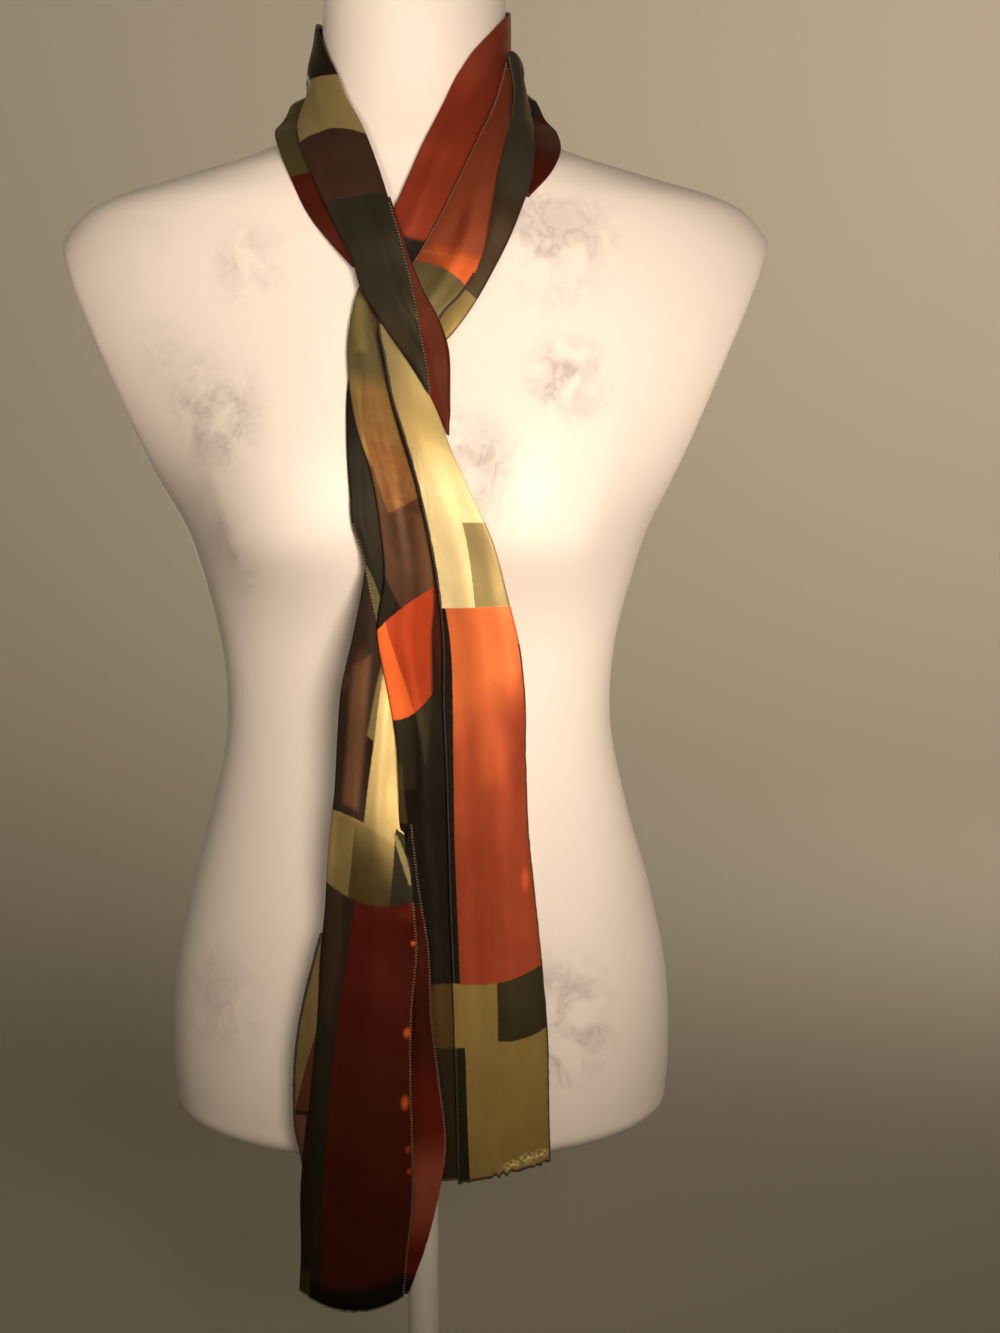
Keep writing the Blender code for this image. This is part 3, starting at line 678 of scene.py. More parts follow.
def add_mesh(name, points, faces, material, uv=None):
    mesh = bpy.data.meshes.new(name)
    mesh.from_pydata([tuple(point) for point in points.reshape(-1, 3)], [], [tuple(f) for f in faces])
    if uv is not None:
        layer = mesh.uv_layers.new(name="cloth")
        corners = np.zeros(len(mesh.loops), int)
        mesh.loops.foreach_get("vertex_index", corners)
        layer.data.foreach_set("uv", uv.reshape(-1, 2)[corners].astype(np.float32).ravel())
    mesh.materials.append(material)
    mesh.shade_smooth()
    mesh.update()
    return add_object(name, mesh)


def add_cloth(name, sheet, material):
    """The sheet as a thin wall with its folded edges."""
    points, across, along = sheet.with_lips()
    faces = grid_faces(*points.shape[:2])
    middle = points.shape[0] // 2, points.shape[1] // 2
    here = points[middle]
    down = points[middle[0] + 1, middle[1]] - here
    right = points[middle[0], middle[1] + 1] - here
    if np.dot(np.cross(right, down), outward(here[None])[1][0]) < 0:
        faces = faces[:, ::-1]
    made = add_mesh(name, points, faces, material, np.stack([across, along], axis=-1))
    wall = made.modifiers.new("wall", "SOLIDIFY")
    wall.thickness = CLOTH
    wall.offset = 0
    return made


# ---- Shader sums ---------------------------------------------------------------------------------


def linear(code):
    """A colour written as RRGGBB, as the shader's linear values."""
    values = [int(code[i : i + 2], 16) / 255 for i in (0, 2, 4)]
    return tuple(v / 12.92 if v <= 0.04045 else ((v + 0.055) / 1.055) ** 2.4 for v in values)


def add_node(tree, kind, settings=None, inputs=None):
    """Adds a node: its settings first, then the values or links of its sockets."""
    made = tree.nodes.new(kind)
    for name, value in (settings or {}).items():
        setattr(made, name, value)
    for name, value in (inputs or {}).items():
        if isinstance(value, bpy.types.NodeSocket):
            tree.links.new(value, made.inputs[name])
        else:
            made.inputs[name].default_value = value
    return made


class Number:
    """A number on its way through a material: sums on it add Math nodes."""

    def __init__(self, paint, socket):
        self.paint = paint
        self.socket = socket

    def math(self, operation, *others):
        return self.paint.number("ShaderNodeMath", {"operation": operation}, dict(enumerate(others)))

    def __add__(self, other):
        return self.math("ADD", self, other)

    def __mul__(self, other):
        return self.math("MULTIPLY", self, other)

    def __sub__(self, other):
        return self.math("SUBTRACT", self, other)

    def __rsub__(self, other):
        return self.math("SUBTRACT", other, self)

    __radd__ = __add__
    __rmul__ = __mul__

    def least(self, other):
        return self.math("MINIMUM", self, other)

    def most(self, other):
        return self.math("MAXIMUM", self, other)

    def between(self, low, high):
        """0 at `low` and below, 1 at `high` and above, and smooth between them."""
        return self.paint.number(
            "ShaderNodeMapRange",
            {"interpolation_type": "SMOOTHSTEP"},
            {0: self, 1: low, 2: high, 3: 0.0, 4: 1.0},
        )


class Paint:
    """A material's node tree, built one call at a time."""

    def __init__(self, name):
        self.material = bpy.data.materials.new(name)
        self.material.use_nodes = True
        self.tree = self.material.node_tree
        self.tree.nodes.clear()

    def node(self, kind, settings=None, inputs=None):
        inputs = {
            name: value.socket if isinstance(value, Number) else value
            for name, value in (inputs or {}).items()
        }
        return add_node(self.tree, kind, settings, inputs)

    def number(self, kind, settings=None, inputs=None, output=0):
        return Number(self, self.node(kind, settings, inputs).outputs[output])

    def mix(self, share, first, second, blend="MIX"):
        """A colour between two, by a share."""
        colours = [(*c, 1) if isinstance(c, tuple) else c for c in (first, second)]
        settings = {"data_type": "RGBA", "blend_type": blend}
        return self.node("ShaderNodeMix", settings, {0: share, 6: colours[0], 7: colours[1]}).outputs[2]

    def noise(self, place, scale, detail=2.0, roughness=0.5, distortion=0.0):
        inputs = {"Vector": place, "Scale": scale, "Detail": detail}
        inputs.update({"Roughness": roughness, "Distortion": distortion})
        return self.number("ShaderNodeTexNoise", {}, inputs)

    def vector(self, operation, first, second):
        inputs = {0: first, 1: second}
        return self.node("ShaderNodeVectorMath", {"operation": operation}, inputs).outputs[0]

    def measure(self, operation, first, second=(0.0, 0.0, 0.0)):
        """A number that comes of vectors: their dot product, distance or length."""
        inputs = {0: first, 1: second}
        return self.number("ShaderNodeVectorMath", {"operation": operation}, inputs, output=1)

    def bump(self, height, distance, strength=1.0):
        inputs = {"Height": height, "Distance": distance, "Strength": strength}
        return self.node("ShaderNodeBump", {}, inputs).outputs[0]

    def finish(self, inputs):
        """The material, with these inputs to its surface."""
        surface = self.node("ShaderNodeBsdfPrincipled", {}, inputs).outputs[0]
        self.node("ShaderNodeOutputMaterial", {}, {0: surface})
        return self.material


# ---- The printed satin chiffon -------------------------------------------------------------------

CRISP = 0.0003  # half the width over which a plain block's edge fades
BLEED = 0.0009  # how far the dye wanders at the blocks' edges
BLEED_SCALE = 420.0  # its wanderings to the metre
SPOT_MIDDLE = 0.2  # share of a spot's reach that has its full colour
# The cloth's unevenness: repeats to the metre across it and along it, and how much it changes the tone.
STREAKS = (260.0, 14.0, 1.0)
STREAK_TONE = 0.12
MOTTLE = (60.0, 30.0, 1.0)
MOTTLE_TONE = 0.36
WEAVE = (3200.0, 500.0, 1.0)
WRINKLES = (90.0, 45.0, 1.0)
WRINKLE_DEPTH = 0.0006
WEAVE_DEPTH = 0.10  # as a share of the wrinkles'

# Print colours, and colours laid as painted shade, painted highlights and painted glints where the
# blocks and spots below say so.
COLOURS = dict(
    rust="7c2e1c", rust_shade="a2452a", red="5e1b10", deep_red="45160b", orange="d66c3a",
    bright_orange="d8602a", orange_brown="74341f", gold_brown="66401f", brown="5a3524",
    umber="3e2618", wine_brown="3b281e", dark_brown="271b14", grey_brown="382a1d",
    dark_olive="3b331c", deep_orange="a43a1a", rust_orange="7c3516", moss="2e2919", olive="6e5d35",
    grey_olive="8f7c50", pale_olive="85754a", yellow="ab905a", pale_yellow="e6c884",
    highlight_yellow="f3dd9c", gold="8f7742", dark_green="25231a", black_green="1c1912",
    near_black="15130d", light_brown="60402a", low_olive_shade="453716", low_gold="533b1f",
    strip_olive="504930", cloth_green="2f2b20", slate="3a342a", cream_highlight="e2cc96", hot_orange="ae4d21",
    rect_green="37301e", soot="100e0a", side_olive="7a683e", shade_olive="4c4226",
    top_olive_shade="7c6e4a", khaki="a8935c", brick="8c3a24", tail_low="44190b", back_olive="71603c",
    back_brown="54301f", bronze="7a6238", dark_wine="3a1109", tail_red="46120a",
    pink_brown="9c4f38", pink_shade="6c483c",
)


def line_through(sheet, places, lengthwise):
    """A line on the cloth through places of the front view: along = a + b across + c across², or,
    where it runs lengthwise, across = a + b along + c along²."""
    across, along = np.array([sheet.find(*place) for place in places]).T
    known, sought = (along, across) if lengthwise else (across, along)
    terms = np.polyfit(known, sought, len(places) - 1)
    square, slope, start = np.concatenate([np.zeros(3 - len(terms)), terms])
    if lengthwise:
        return {"across": 1.0, "along": -slope, "one": -start, "squares": (0.0, -square)}
    return {"across": -slope, "along": 1.0, "one": -start, "squares": (-square, 0.0)}


def side_of(line, u, v):
    """How far a place of the cloth is past a line."""
    bend = line["squares"][0] * u**2 + line["squares"][1] * v**2
    return line["across"] * u + line["along"] * v + line["one"] + bend


class Print:
    """The printed blocks of one sheet, and its painted shade, highlights and glints, in the order in
    which they are laid over its ground.
    """

    def __init__(self, sheet, ground):
        self.sheet = sheet
        self.ground = ground
        self.blocks = []
        self.spots = []

    def spot(self, colour, place, reach, strength=1.0, specks=0):
        """A patch that fades out from its middle, with its reach across and along the cloth."""
        self.spots.append((colour, self.sheet.find(*place), reach, strength, specks))
        return self

    def block(self, colour, inside, across=(), along=(), soft=CRISP, strength=1.0, specks=0):
        """A block round the place `inside`, bounded by lines across and along the cloth, and broken
        into specks where their number to the metre is given."""
        u, v = self.sheet.find(*inside)
        lines = [line_through(self.sheet, places, False) for places in across]
        lines += [line_through(self.sheet, places, True) for places in along]
        signs = [1 if side_of(line, u, v) > 0 else -1 for line in lines]
        self.blocks.append((colour, list(zip(lines, signs)), soft, strength, specks))
        return self

    def band(self, colour, start, end, soft=CRISP):
        """A block right across the cloth from one distance along it to another."""
        first = {"across": 0.0, "along": 1.0, "one": -start, "squares": (0.0, 0.0)}
        last = {"across": 0.0, "along": 1.0, "one": -end, "squares": (0.0, 0.0)}
        self.blocks.append((colour, [(first, 1), (last, -1)], soft, 1.0, 0))
        return self


def speckled(paint, uv, share, specks):
    """A share broken into specks, where their number to the metre is given."""
    if not specks:
        return share
    return share * paint.noise(uv, float(specks), detail=4.0, roughness=0.6).between(0.46, 0.58)


def block_share(paint, one, squares, lines, soft):
    """How much of a block's colour shows: 1 inside all of its lines, 0 outside any of them."""
    inside = None
    for line, sign in lines:
        factors = (sign * line["across"], sign * line["along"], sign * line["one"])
        reach = paint.measure("DOT_PRODUCT", one, factors)
        if any(line["squares"]):
            curve = (sign * line["squares"][0], sign * line["squares"][1], 0.0)
            reach = reach + paint.measure("DOT_PRODUCT", squares, curve)
        inside = reach if inside is None else inside.least(reach)
    return inside.between(-soft, soft)


def printed_satin_with_painted_light(name, chart):
    """Satin chiffon: printed blocks with painted shade, highlights and glints among them, silk streaks
    along the cloth and a soft sheen.
    """
    paint = Paint(name)
    uv = paint.node("ShaderNodeUVMap", {"uv_map": "cloth"}).outputs[0]
    inputs = {"Vector": uv, "Scale": BLEED_SCALE, "Detail": 2.0}
    bleed = paint.node("ShaderNodeTexNoise", {}, inputs).outputs[1]
    shift = paint.vector("SUBTRACT", bleed, (0.5, 0.5, 0.5))
    shift = paint.vector("MULTIPLY", shift, (BLEED, BLEED, 0.0))
    place = paint.vector("ADD", uv, shift)
    one = paint.vector("ADD", place, (0.0, 0.0, 1.0))
    squares = paint.vector("MULTIPLY", place, place)
    colour = linear(COLOURS[chart.ground])
    for block_colour, lines, soft, strength, specks in chart.blocks:
        share = block_share(paint, one, squares, lines, soft)
        if strength < 1:
            share = share * strength
        share = speckled(paint, uv, share, specks)
        colour = paint.mix(share.socket, colour, linear(COLOURS[block_colour]))
    for spot_colour, (u, v), (wide, long), strength, specks in chart.spots:
        gap = paint.vector("SUBTRACT", place, (u, v, 0.0))
        gap = paint.vector("MULTIPLY", gap, (1 / wide, 1 / long, 0.0))
        share = paint.measure("LENGTH", gap).between(1.0, SPOT_MIDDLE) * strength
        share = speckled(paint, uv, share, specks)
        colour = paint.mix(share.socket, colour, linear(COLOURS[spot_colour]))
    streaks = paint.noise(paint.vector("MULTIPLY", uv, STREAKS), 1.0, detail=3.0)
    mottle = paint.noise(paint.vector("MULTIPLY", uv, MOTTLE), 1.0, detail=3.0, roughness=0.6)
    shade = (streaks - 0.5) * STREAK_TONE + (mottle - 0.5) * MOTTLE_TONE + 1.0
    shades = paint.node("ShaderNodeCombineXYZ", {}, {0: shade, 1: shade, 2: shade}).outputs[0]
    colour = paint.mix(1.0, colour, shades, blend="MULTIPLY")
    weave = paint.noise(paint.vector("MULTIPLY", uv, WEAVE), 1.0, detail=1.0)
    wrinkle = paint.noise(paint.vector("MULTIPLY", uv, WRINKLES), 1.0, detail=2.0)
    normal = paint.bump(weave * WEAVE_DEPTH + wrinkle, WRINKLE_DEPTH, strength=0.35)
    return paint.finish(
        {
            "Base Color": colour,
            "Roughness": (streaks - 0.5) * 0.08 + 0.44,
            "Normal": normal,
            "Specular IOR Level": 0.12,
            "Specular Tint": (1.0, 0.84, 0.60, 1.0),
            "Metallic": 0.30,
            "Sheen Weight": 0.04,
            "Sheen Roughness": 0.4,
            "Sheen Tint": (1.0, 0.88, 0.70, 1.0),
        }
    )


# ---- The form's and the stand's finishes ---------------------------------------------------------

# Where the shell's marbling gathers: x, the side that it is on (-1 front, 1 back), height above the
# floor and reach, in metres.
MARBLING = (
    (-0.155, -1, 0.7, 0.05),
    (-0.165, -1, 0.8, 0.04),
    (-0.18, -1, 0.885, 0.05),
    (-0.1, -1, 0.86, 0.034),
    (-0.125, -1, 0.77, 0.04),
    (-0.12, -1, 0.66, 0.036),
    (0.085, -1, 0.875, 0.05),
    (0.03, -1, 0.735, 0.036),
    (0.095, -1, 0.79, 0.03),
    (-0.14, -1, 0.575, 0.034),
    (-0.15, -1, 0.4, 0.055),
    (0.09, -1, 0.385, 0.05),
    (0.085, -1, 0.56, 0.032),
    (0.15, -1, 0.93, 0.036),
    (-0.11, 1, 0.84, 0.06),
    (0.08, 1, 0.76, 0.05),
    (0.13, 1, 0.9, 0.045),
    (-0.05, 1, 0.6, 0.05),
    (0.11, 1, 0.45, 0.055),
    (-0.12, 1, 0.4, 0.05),
)
MARBLING_DEPTH = 0.100  # how far in front of the axis, or behind it, the clusters lie


def marbled_shell():
    """Cream shell with faint grey clouds brushed on in clusters."""
    paint = Paint("marbled_shell")
    place = paint.node("ShaderNodeTexCoord").outputs["Object"]
    cluster = None
    for x, side, height, reach in MARBLING:
        gap = paint.measure("DISTANCE", place, (x, side * MARBLING_DEPTH, height))
        near = gap.between(reach * 1.25, reach * 0.35)
        cluster = near if cluster is None else cluster.most(near)
    cloud = paint.noise(place, 44.0, detail=2.0, roughness=0.5, distortion=1.6)
    curl = (cloud - 0.5).math("ABSOLUTE", cloud - 0.5).between(0.090, 0.0)
    patch = paint.noise(place, 30.0, detail=3.0, roughness=0.6, distortion=0.8).between(0.37, 0.59)
    share = cluster * patch * (curl * 0.32 + 0.50)
    colour = paint.mix(share.socket, linear("efe3d8"), linear("aa9c9b"))
    broad = paint.noise(place, 4.0, detail=1.0)
    colour = paint.mix((broad * 0.25).socket, colour, linear("e2d2c8"))
    relief = paint.noise(place, 60.0, detail=3.0)
    return paint.finish(
        {
            "Base Color": colour,
            "Roughness": (relief - 0.5) * 0.1 + 0.46,
            "Normal": paint.bump(relief, 0.0004, strength=0.3),
            "Specular IOR Level": 0.4,
        }
    )


def plain_finish(name, code, roughness, grain=300.0, metallic=0.0):
    """A painted or moulded surface with a fine grain."""
    paint = Paint(name)
    place = paint.node("ShaderNodeTexCoord").outputs["Object"]
    fine = paint.noise(place, grain, detail=3.0)
    broad = paint.noise(place, 14.0, detail=2.0)
    tone = tuple(value * 0.90 for value in linear(code))
    colour = paint.mix(broad.between(0.35, 0.70).socket, linear(code), tone)
    return paint.finish(
        {
            "Base Color": colour,
            "Roughness": (fine - 0.5) * 0.12 + roughness,
            "Metallic": metallic,
            "Normal": paint.bump(fine, 0.0002, strength=0.25),
        }
    )


# ---- The dress form and its stand ----------------------------------------------------------------

FORM_ROWS = 240
RIM = 0.0012  # roundness of the arm cuts' edges
RIM_LIMIT = math.radians(82)  # the furthest that such an edge lies from the front or the back
SIDE_COLUMNS, FRONT_COLUMNS = 36, 96


def rim_angles(height):
    """The angles, from the front and from the back, at which the arm cut's edge lies at each height."""
    angles = np.linspace(0, math.pi / 2, 400)
    found = []
    for turn in (angles, math.pi - angles):
        x = section_radius(height[:, None], turn[None]) * np.sin(turn)
        over = x > arm_cut(height)[:, None]
        first = np.where(over.any(axis=1), angles[np.argmax(over, axis=1)], math.pi / 2)
        found.append(np.minimum(first, RIM_LIMIT))
    return found


def spread(start, end, count):
    """Angles from one to the other, closer together near both."""
    share = (1 - np.cos(np.linspace(0, math.pi, count + 1)[:-1])) / 2
    share = 0.5 * share + 0.5 * np.linspace(0, 1, count + 1)[:-1]
    return start[:, None] + (end - start)[:, None] * share


def add_form(material):
    heights = np.linspace(0, NECK_TOP, 1200)
    run = run_of(np.stack([heights, section_at(heights)[0]], axis=-1))
    heights = np.interp(np.linspace(0, run[-1], FORM_ROWS), run, heights)
    front, back = rim_angles(heights)
    angles = np.concatenate(
        [
            spread(-front, front, FRONT_COLUMNS),
            spread(front, math.pi - back, SIDE_COLUMNS),
            spread(math.pi - back, math.pi + back, FRONT_COLUMNS),
            spread(math.pi + back, 2 * math.pi - front, SIDE_COLUMNS),
        ],
        axis=1,
    )
    grid = form_point(heights[:, None], angles, RIM)
    form = add_mesh("dress_form", grid, tube_faces(*angles.shape), material)
    form.data.set_sharp_from_angle(angle=math.radians(50))
    return form


def add_turned(name, profile, material, steps=96):
    """A turned piece from its profile: (radius, height) down its outer side, both ends on the axis."""
    points = turned_rings(profile[1:-1], steps)
    faces = [face[::-1] for face in tube_faces(*points.shape[:2])]
    made = add_mesh(name, points, faces, material)
    made.data.set_sharp_from_angle(angle=math.radians(35))
    return made


def rounded(corner, radius, start, count=5):
    """Points of a quarter round at a corner of a profile, from the angle `start` clockwise."""
    turns = np.radians(start) - np.linspace(0, math.pi / 2, count)
    return [(corner[0] + radius * math.cos(t), corner[1] + radius * math.sin(t)) for t in turns]


BASE_EDGE = 0.003  # roundness of the upper edges of the base and its boss
BOSS_RADIUS = 0.030  # the low boss round the pole
BOSS_HEIGHT = 0.004
COLLAR_EDGE = 0.0015
COLLAR_TAPER = 0.005  # how far the collar's foot stands out from the pole
SEAM = 0.0003  # from the form down to the collar, and from the pole's top down to the collar's foot


def add_stand(enamel, plastic):
    edge, boss = BASE_THICKNESS - BASE_EDGE, BASE_THICKNESS + BOSS_HEIGHT
    base = [(0, boss), (BOSS_RADIUS, boss)]
    base += rounded((BOSS_RADIUS, boss - BASE_EDGE), BASE_EDGE, 90)
    base += [(BOSS_RADIUS + 0.006, BASE_THICKNESS)]
    base += rounded((BASE_RADIUS - BASE_EDGE, edge), BASE_EDGE, 90)
    base += [(BASE_RADIUS, 0.001), (BASE_RADIUS - 0.001, 0), (0, 0)]
    made = [add_turned("stand_foot", base, enamel)]
    foot = UNDERSIDE - SOCKET_HEIGHT
    pole_foot = boss + 0.0005
    pole = [(0, foot), (POLE_RADIUS, foot), (POLE_RADIUS, pole_foot), (0, pole_foot)]
    made.append(add_turned("stand_tube", pole, enamel, steps=64))
    top = UNDERSIDE - SEAM
    lip = POLE_RADIUS + 0.0035
    collar = [(0, top), (SOCKET_RADIUS - 0.002, top)]
    collar += rounded((SOCKET_RADIUS - COLLAR_EDGE, top - COLLAR_EDGE), COLLAR_EDGE, 90)
    collar += [(SOCKET_RADIUS, UNDERSIDE - SOCKET_HEIGHT / 2)]
    collar += [(POLE_RADIUS + COLLAR_TAPER, foot), (lip, foot), (lip, foot - SEAM), (0, foot - SEAM)]
    made.append(add_turned("stand_collar", collar, plastic, steps=72))
    for piece, node, finish in zip(
        made,
        ("stand_base", "stand_pole", "stand_socket"),
        ("stand_enamel", "stand_enamel", "socket_plastic"),
    ):
        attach(piece, "root")
        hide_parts(node)


# ---- Hems ----------------------------------------------------------------------------------------

HEM_RADIUS = 0.0007
HEM_SIDES = 8
HEM_PINCH = 0.20  # share of its radius by which a stitch draws a hem in
HEM_UNEVEN = 0.10  # share of its radius by which a hem varies, in waves of HEM_WAVE
HEM_WAVE = 0.012
HEM_INSET = 0.7  # share of its radius by which a hem lies inside the cloth's edge
STITCH_PITCH = 0.0019
STITCH_SLANT = 0.0004
STITCH_REACH = 0.77  # reach to each side and height of a stitch, as shares of its hem's radius
STITCH_HEIGHT = 0.86
THREAD_RADIUS = 0.00021


def hem_line(sheet, side, start, end):
    """A stretch of an edge between two places of the front view, or all of it: its points, the way out
    of the cloth, the way off the body and the cloth coordinates."""
    if side == "last":
        edge = sheet.points[-1]
        out = unit(edge - sheet.points[-3])
        away = square_to(out, sheet.away[-1])
        cloth = np.stack([sheet.across[-1], sheet.along[-1]], axis=-1)
        view = sheet.view[-1]
    else:
        edge, out, away = sheet.side_out(side)
        column = -1 if side else 0
        cloth = np.stack([sheet.across[:, column], sheet.along[:, column]], axis=-1)
        view = sheet.view[:, column]
        edge = edge + out * sheet.lips[side][:, None]
    first = 0 if start is None else np.argmin(np.hypot(*(view - start).T))
    last = len(edge) - 1 if end is None else np.argmin(np.hypot(*(view - end).T))
    keep = slice(min(first, last), max(first, last) + 1)
    return edge[keep], out[keep], away[keep], cloth[keep]


def add_hem(name, line, material, size):
    """A narrow rolled hem: a tube along the edge, drawn in at each stitch."""
    edge, out, away, cloth = line
    run = run_of(edge)
    count = max(8, 1 + round(run[-1] / (STITCH_PITCH / 3)))
    at = np.linspace(0, run[-1], count)

    def sample(values):
        return np.stack([np.interp(at, run, column) for column in values.T], axis=-1)

    edge, cloth = sample(edge), sample(cloth)
    out, away = unit(sample(out)), unit(sample(away))
    pinch = 1 - HEM_PINCH * np.cos(math.pi * at / STITCH_PITCH) ** 2
    uneven = 1 + HEM_UNEVEN * waves(at, 0 * at, HEM_WAVE, len(name))
    radius = (size * pinch * uneven)[:, None]
    centre = edge - out * size * HEM_INSET
    turns = np.linspace(0, 2 * math.pi, HEM_SIDES, endpoint=False)
    rings = np.stack([centre + radius * (out * math.cos(t) + away * math.sin(t)) for t in turns], axis=1)
    faces = tube_faces(count, HEM_SIDES)
    along = rings[1, 0] - rings[0, 0]
    if np.dot(np.cross(out[0], away[0]), along) < 0:
        faces = [face[::-1] for face in faces]
    uv = np.broadcast_to(cloth[:, None], (count, HEM_SIDES, 2))
    return add_mesh(name, rings, faces, material, uv), (centre, away)


def stitch_tree():
    """Geometry nodes that lay slanting stitches over a hem, from a line with its way out."""
    tree = bpy.data.node_groups.new("hem_stitches", "GeometryNodeTree")
    sockets = {}
    for label, kind, standard in (
        ("Geometry", "NodeSocketGeometry", None),
        ("Pitch", "NodeSocketFloat", STITCH_PITCH),
        ("Thread", "NodeSocketFloat", THREAD_RADIUS),
        ("Reach", "NodeSocketFloat", STITCH_REACH * HEM_RADIUS),
        ("Slant", "NodeSocketFloat", STITCH_SLANT),
        ("Height", "NodeSocketFloat", STITCH_HEIGHT * HEM_RADIUS),
        ("Material", "NodeSocketMaterial", None),
    ):
        made = tree.interface.new_socket(label, in_out="INPUT", socket_type=kind)
        if standard is not None:
            made.default_value = standard
        sockets[label] = made.identifier
    tree.interface.new_socket("Geometry", in_out="OUTPUT", socket_type="NodeSocketGeometry")

    def shape(kind, settings=None, inputs=None):
        return add_node(tree, kind, settings, inputs).outputs[0]

    def vector(x, y, z):
        return shape("ShaderNodeCombineXYZ", {}, {0: x, 1: y, 2: z})

    def less(value):
        return shape("ShaderNodeMath", {"operation": "MULTIPLY"}, {0: value, 1: -1.0})

    def scaled(value, share):
        return shape("ShaderNodeVectorMath", {"operation": "SCALE"}, {0: value, "Scale": share})

    def raised(value, lift):
        return shape("ShaderNodeVectorMath", {"operation": "ADD"}, {0: value, 1: lift})

    given = add_node(tree, "NodeGroupInput").outputs
    line = shape("GeometryNodeMeshToCurve", {}, {"Mesh": given["Geometry"]})
    spacing = {"Curve": line, "Length": given["Pitch"]}
    line = shape("GeometryNodeResampleCurve", {"mode": "LENGTH"}, spacing)
    top = vector(0.0, 0.0, given["Height"])
    low = scaled(top, 0.55)
    start = raised(vector(less(given["Slant"]), less(given["Reach"]), 0.0), low)
    end = raised(vector(given["Slant"], given["Reach"], 0.0), low)
    bow = {"Resolution": 5, "Start": start, "Middle": scaled(top, 1.75), "End": end}
    arc = shape("GeometryNodeCurveQuadraticBezier", {}, bow)
    ring = {"Resolution": 5, "Radius": given["Thread"]}
    ring = shape("GeometryNodeCurvePrimitiveCircle", {}, ring)
    thread = {"Curve": arc, "Profile Curve": ring, "Fill Caps": True}
    thread = shape("GeometryNodeCurveToMesh", {}, thread)
    settings = {"data_type": "FLOAT_VECTOR"}
    way_out = shape("GeometryNodeInputNamedAttribute", settings, {"Name": "way_out"})
    upright = shape("FunctionNodeAlignRotationToVector", {"axis": "Z"}, {"Vector": way_out})
    settings = {"axis": "X", "pivot_axis": "Z"}
    turned = {"Rotation": upright, "Vector": shape("GeometryNodeInputTangent")}
    turned = shape("FunctionNodeAlignRotationToVector", settings, turned)
    laid = {"Points": line, "Instance": thread, "Rotation": turned}
    laid = shape("GeometryNodeInstanceOnPoints", {}, laid)
    real = shape("GeometryNodeRealizeInstances", {}, {"Geometry": laid})
    smooth = shape("GeometryNodeSetShadeSmooth", {}, {"Geometry": real})
    painted = {"Geometry": smooth, "Material": given["Material"]}
    painted = shape("GeometryNodeSetMaterial", {}, painted)
    add_node(tree, "NodeGroupOutput", {}, {"Geometry": painted})
    return tree, sockets


def add_stitches(name, line, material, size, tree, sockets):
    """Stitches along a hem's middle line, made with the tree and turned into a plain mesh."""
    centre, away = line
    mesh = bpy.data.meshes.new(name + "_line")
    mesh.from_pydata([tuple(p) for p in centre], [(i, i + 1) for i in range(len(centre) - 1)], [])
    ways = mesh.attributes.new("way_out", "FLOAT_VECTOR", "POINT")
    ways.data.foreach_set("vector", away.astype(np.float32).ravel())
    guide = add_object(name + "_line", mesh)
    laid = guide.modifiers.new("stitches", "NODES")
    laid.node_group = tree
    laid[sockets["Material"]] = material
    laid[sockets["Reach"]] = STITCH_REACH * size
    laid[sockets["Height"]] = STITCH_HEIGHT * size
    bpy.context.view_layer.update()
    evaluated = guide.evaluated_get(bpy.context.evaluated_depsgraph_get())
    made = add_object(name, bpy.data.meshes.new_from_object(evaluated))
    bpy.data.objects.remove(guide)
    return made


# ---- The scarf -----------------------------------------------------------------------------------

over = Sheet(
    chain(front_rows(OVER_LEFT), neck_rows(OVER_NECK), front_rows(OVER_RIGHT)),
    folds=(
        (0.35, 0.45, 4.0, 0.9, 0.02, 0.30),
        (0.75, 0.65, 3.5, -0.7, 0.05, 0.36),
        (0.50, 0.40, 6.0, 1.2, 0.25, 0.70),
        (0.40, 0.55, 5.0, 0.8, 0.66, 0.98),
    ),
    puckers=((0, 0.30, 4, 9, 0.0, 0.24),),
    crown=0.0016,
    seed=3,
)
FOLD_OLIVE_START = ((305, 97), (320, 77), (337, 75))
FOLD_OLIVE_END = ((300, 143), (330, 129), (362, 133))
OUTER_OLIVE_START = ((462, 287), (480, 303))
over_print = (
    Print(over, "cloth_green")
    .block(
        "black_green", (405, 290), along=[((386, 200), (408, 290), (424, 372))], soft=0.004,
        strength=0.6,
    )
    .block("dark_brown", (322, 70), across=[FOLD_OLIVE_START])
    .band("rust", 0.275, 0.325)
    .band("olive", 0.325, 0.365)
    .band("dark_green", 0.365, 0.44)
    .band("slate", 0.44, 0.8)
    .block("wine_brown", (340, 160), across=[((322, 203), (386, 193)), FOLD_OLIVE_END])
    .block(
        "umber", (334, 180), across=[((322, 200), (386, 190)), ((302, 150), (330, 140), (362, 144))],
        along=[((317, 146), (333, 200)), ((327, 146), (352, 200))], soft=0.0012, strength=0.45,
    )
    .block("grey_brown", (495, 240), across=[((484, 188), (524, 204)), OUTER_OLIVE_START], soft=0.006)
    .block("grey_olive", (325, 105), across=[FOLD_OLIVE_END, FOLD_OLIVE_START])
    .block("olive", (455, 322), across=[OUTER_OLIVE_START])
    .spot("grey_brown", (397, 334), (0.011, 0.02), strength=0.7)
)

shoulder = Sheet(
    chain(front_rows(SHOULDER_LEFT), neck_rows(SHOULDER_NECK), front_rows(SHOULDER_RIGHT)),
    folds=((0.50, 0.50, 5.0, 0.6, 0.05, 0.95),),
    seed=5,
)
SHOULDER_RED_START = ((524, 118), (556, 121))
shoulder_print = (
    Print(shoulder, "olive")
    .block("shade_olive", (290, 150), across=[((285, 108), (304, 101))])
    .block("deep_red", (325, 215), across=[((293, 177), (318, 171))])
    .block("dark_green", (540, 112), across=[((520, 96), (548, 104)), SHOULDER_RED_START])
    .block("deep_red", (540, 160), across=[SHOULDER_RED_START])
)

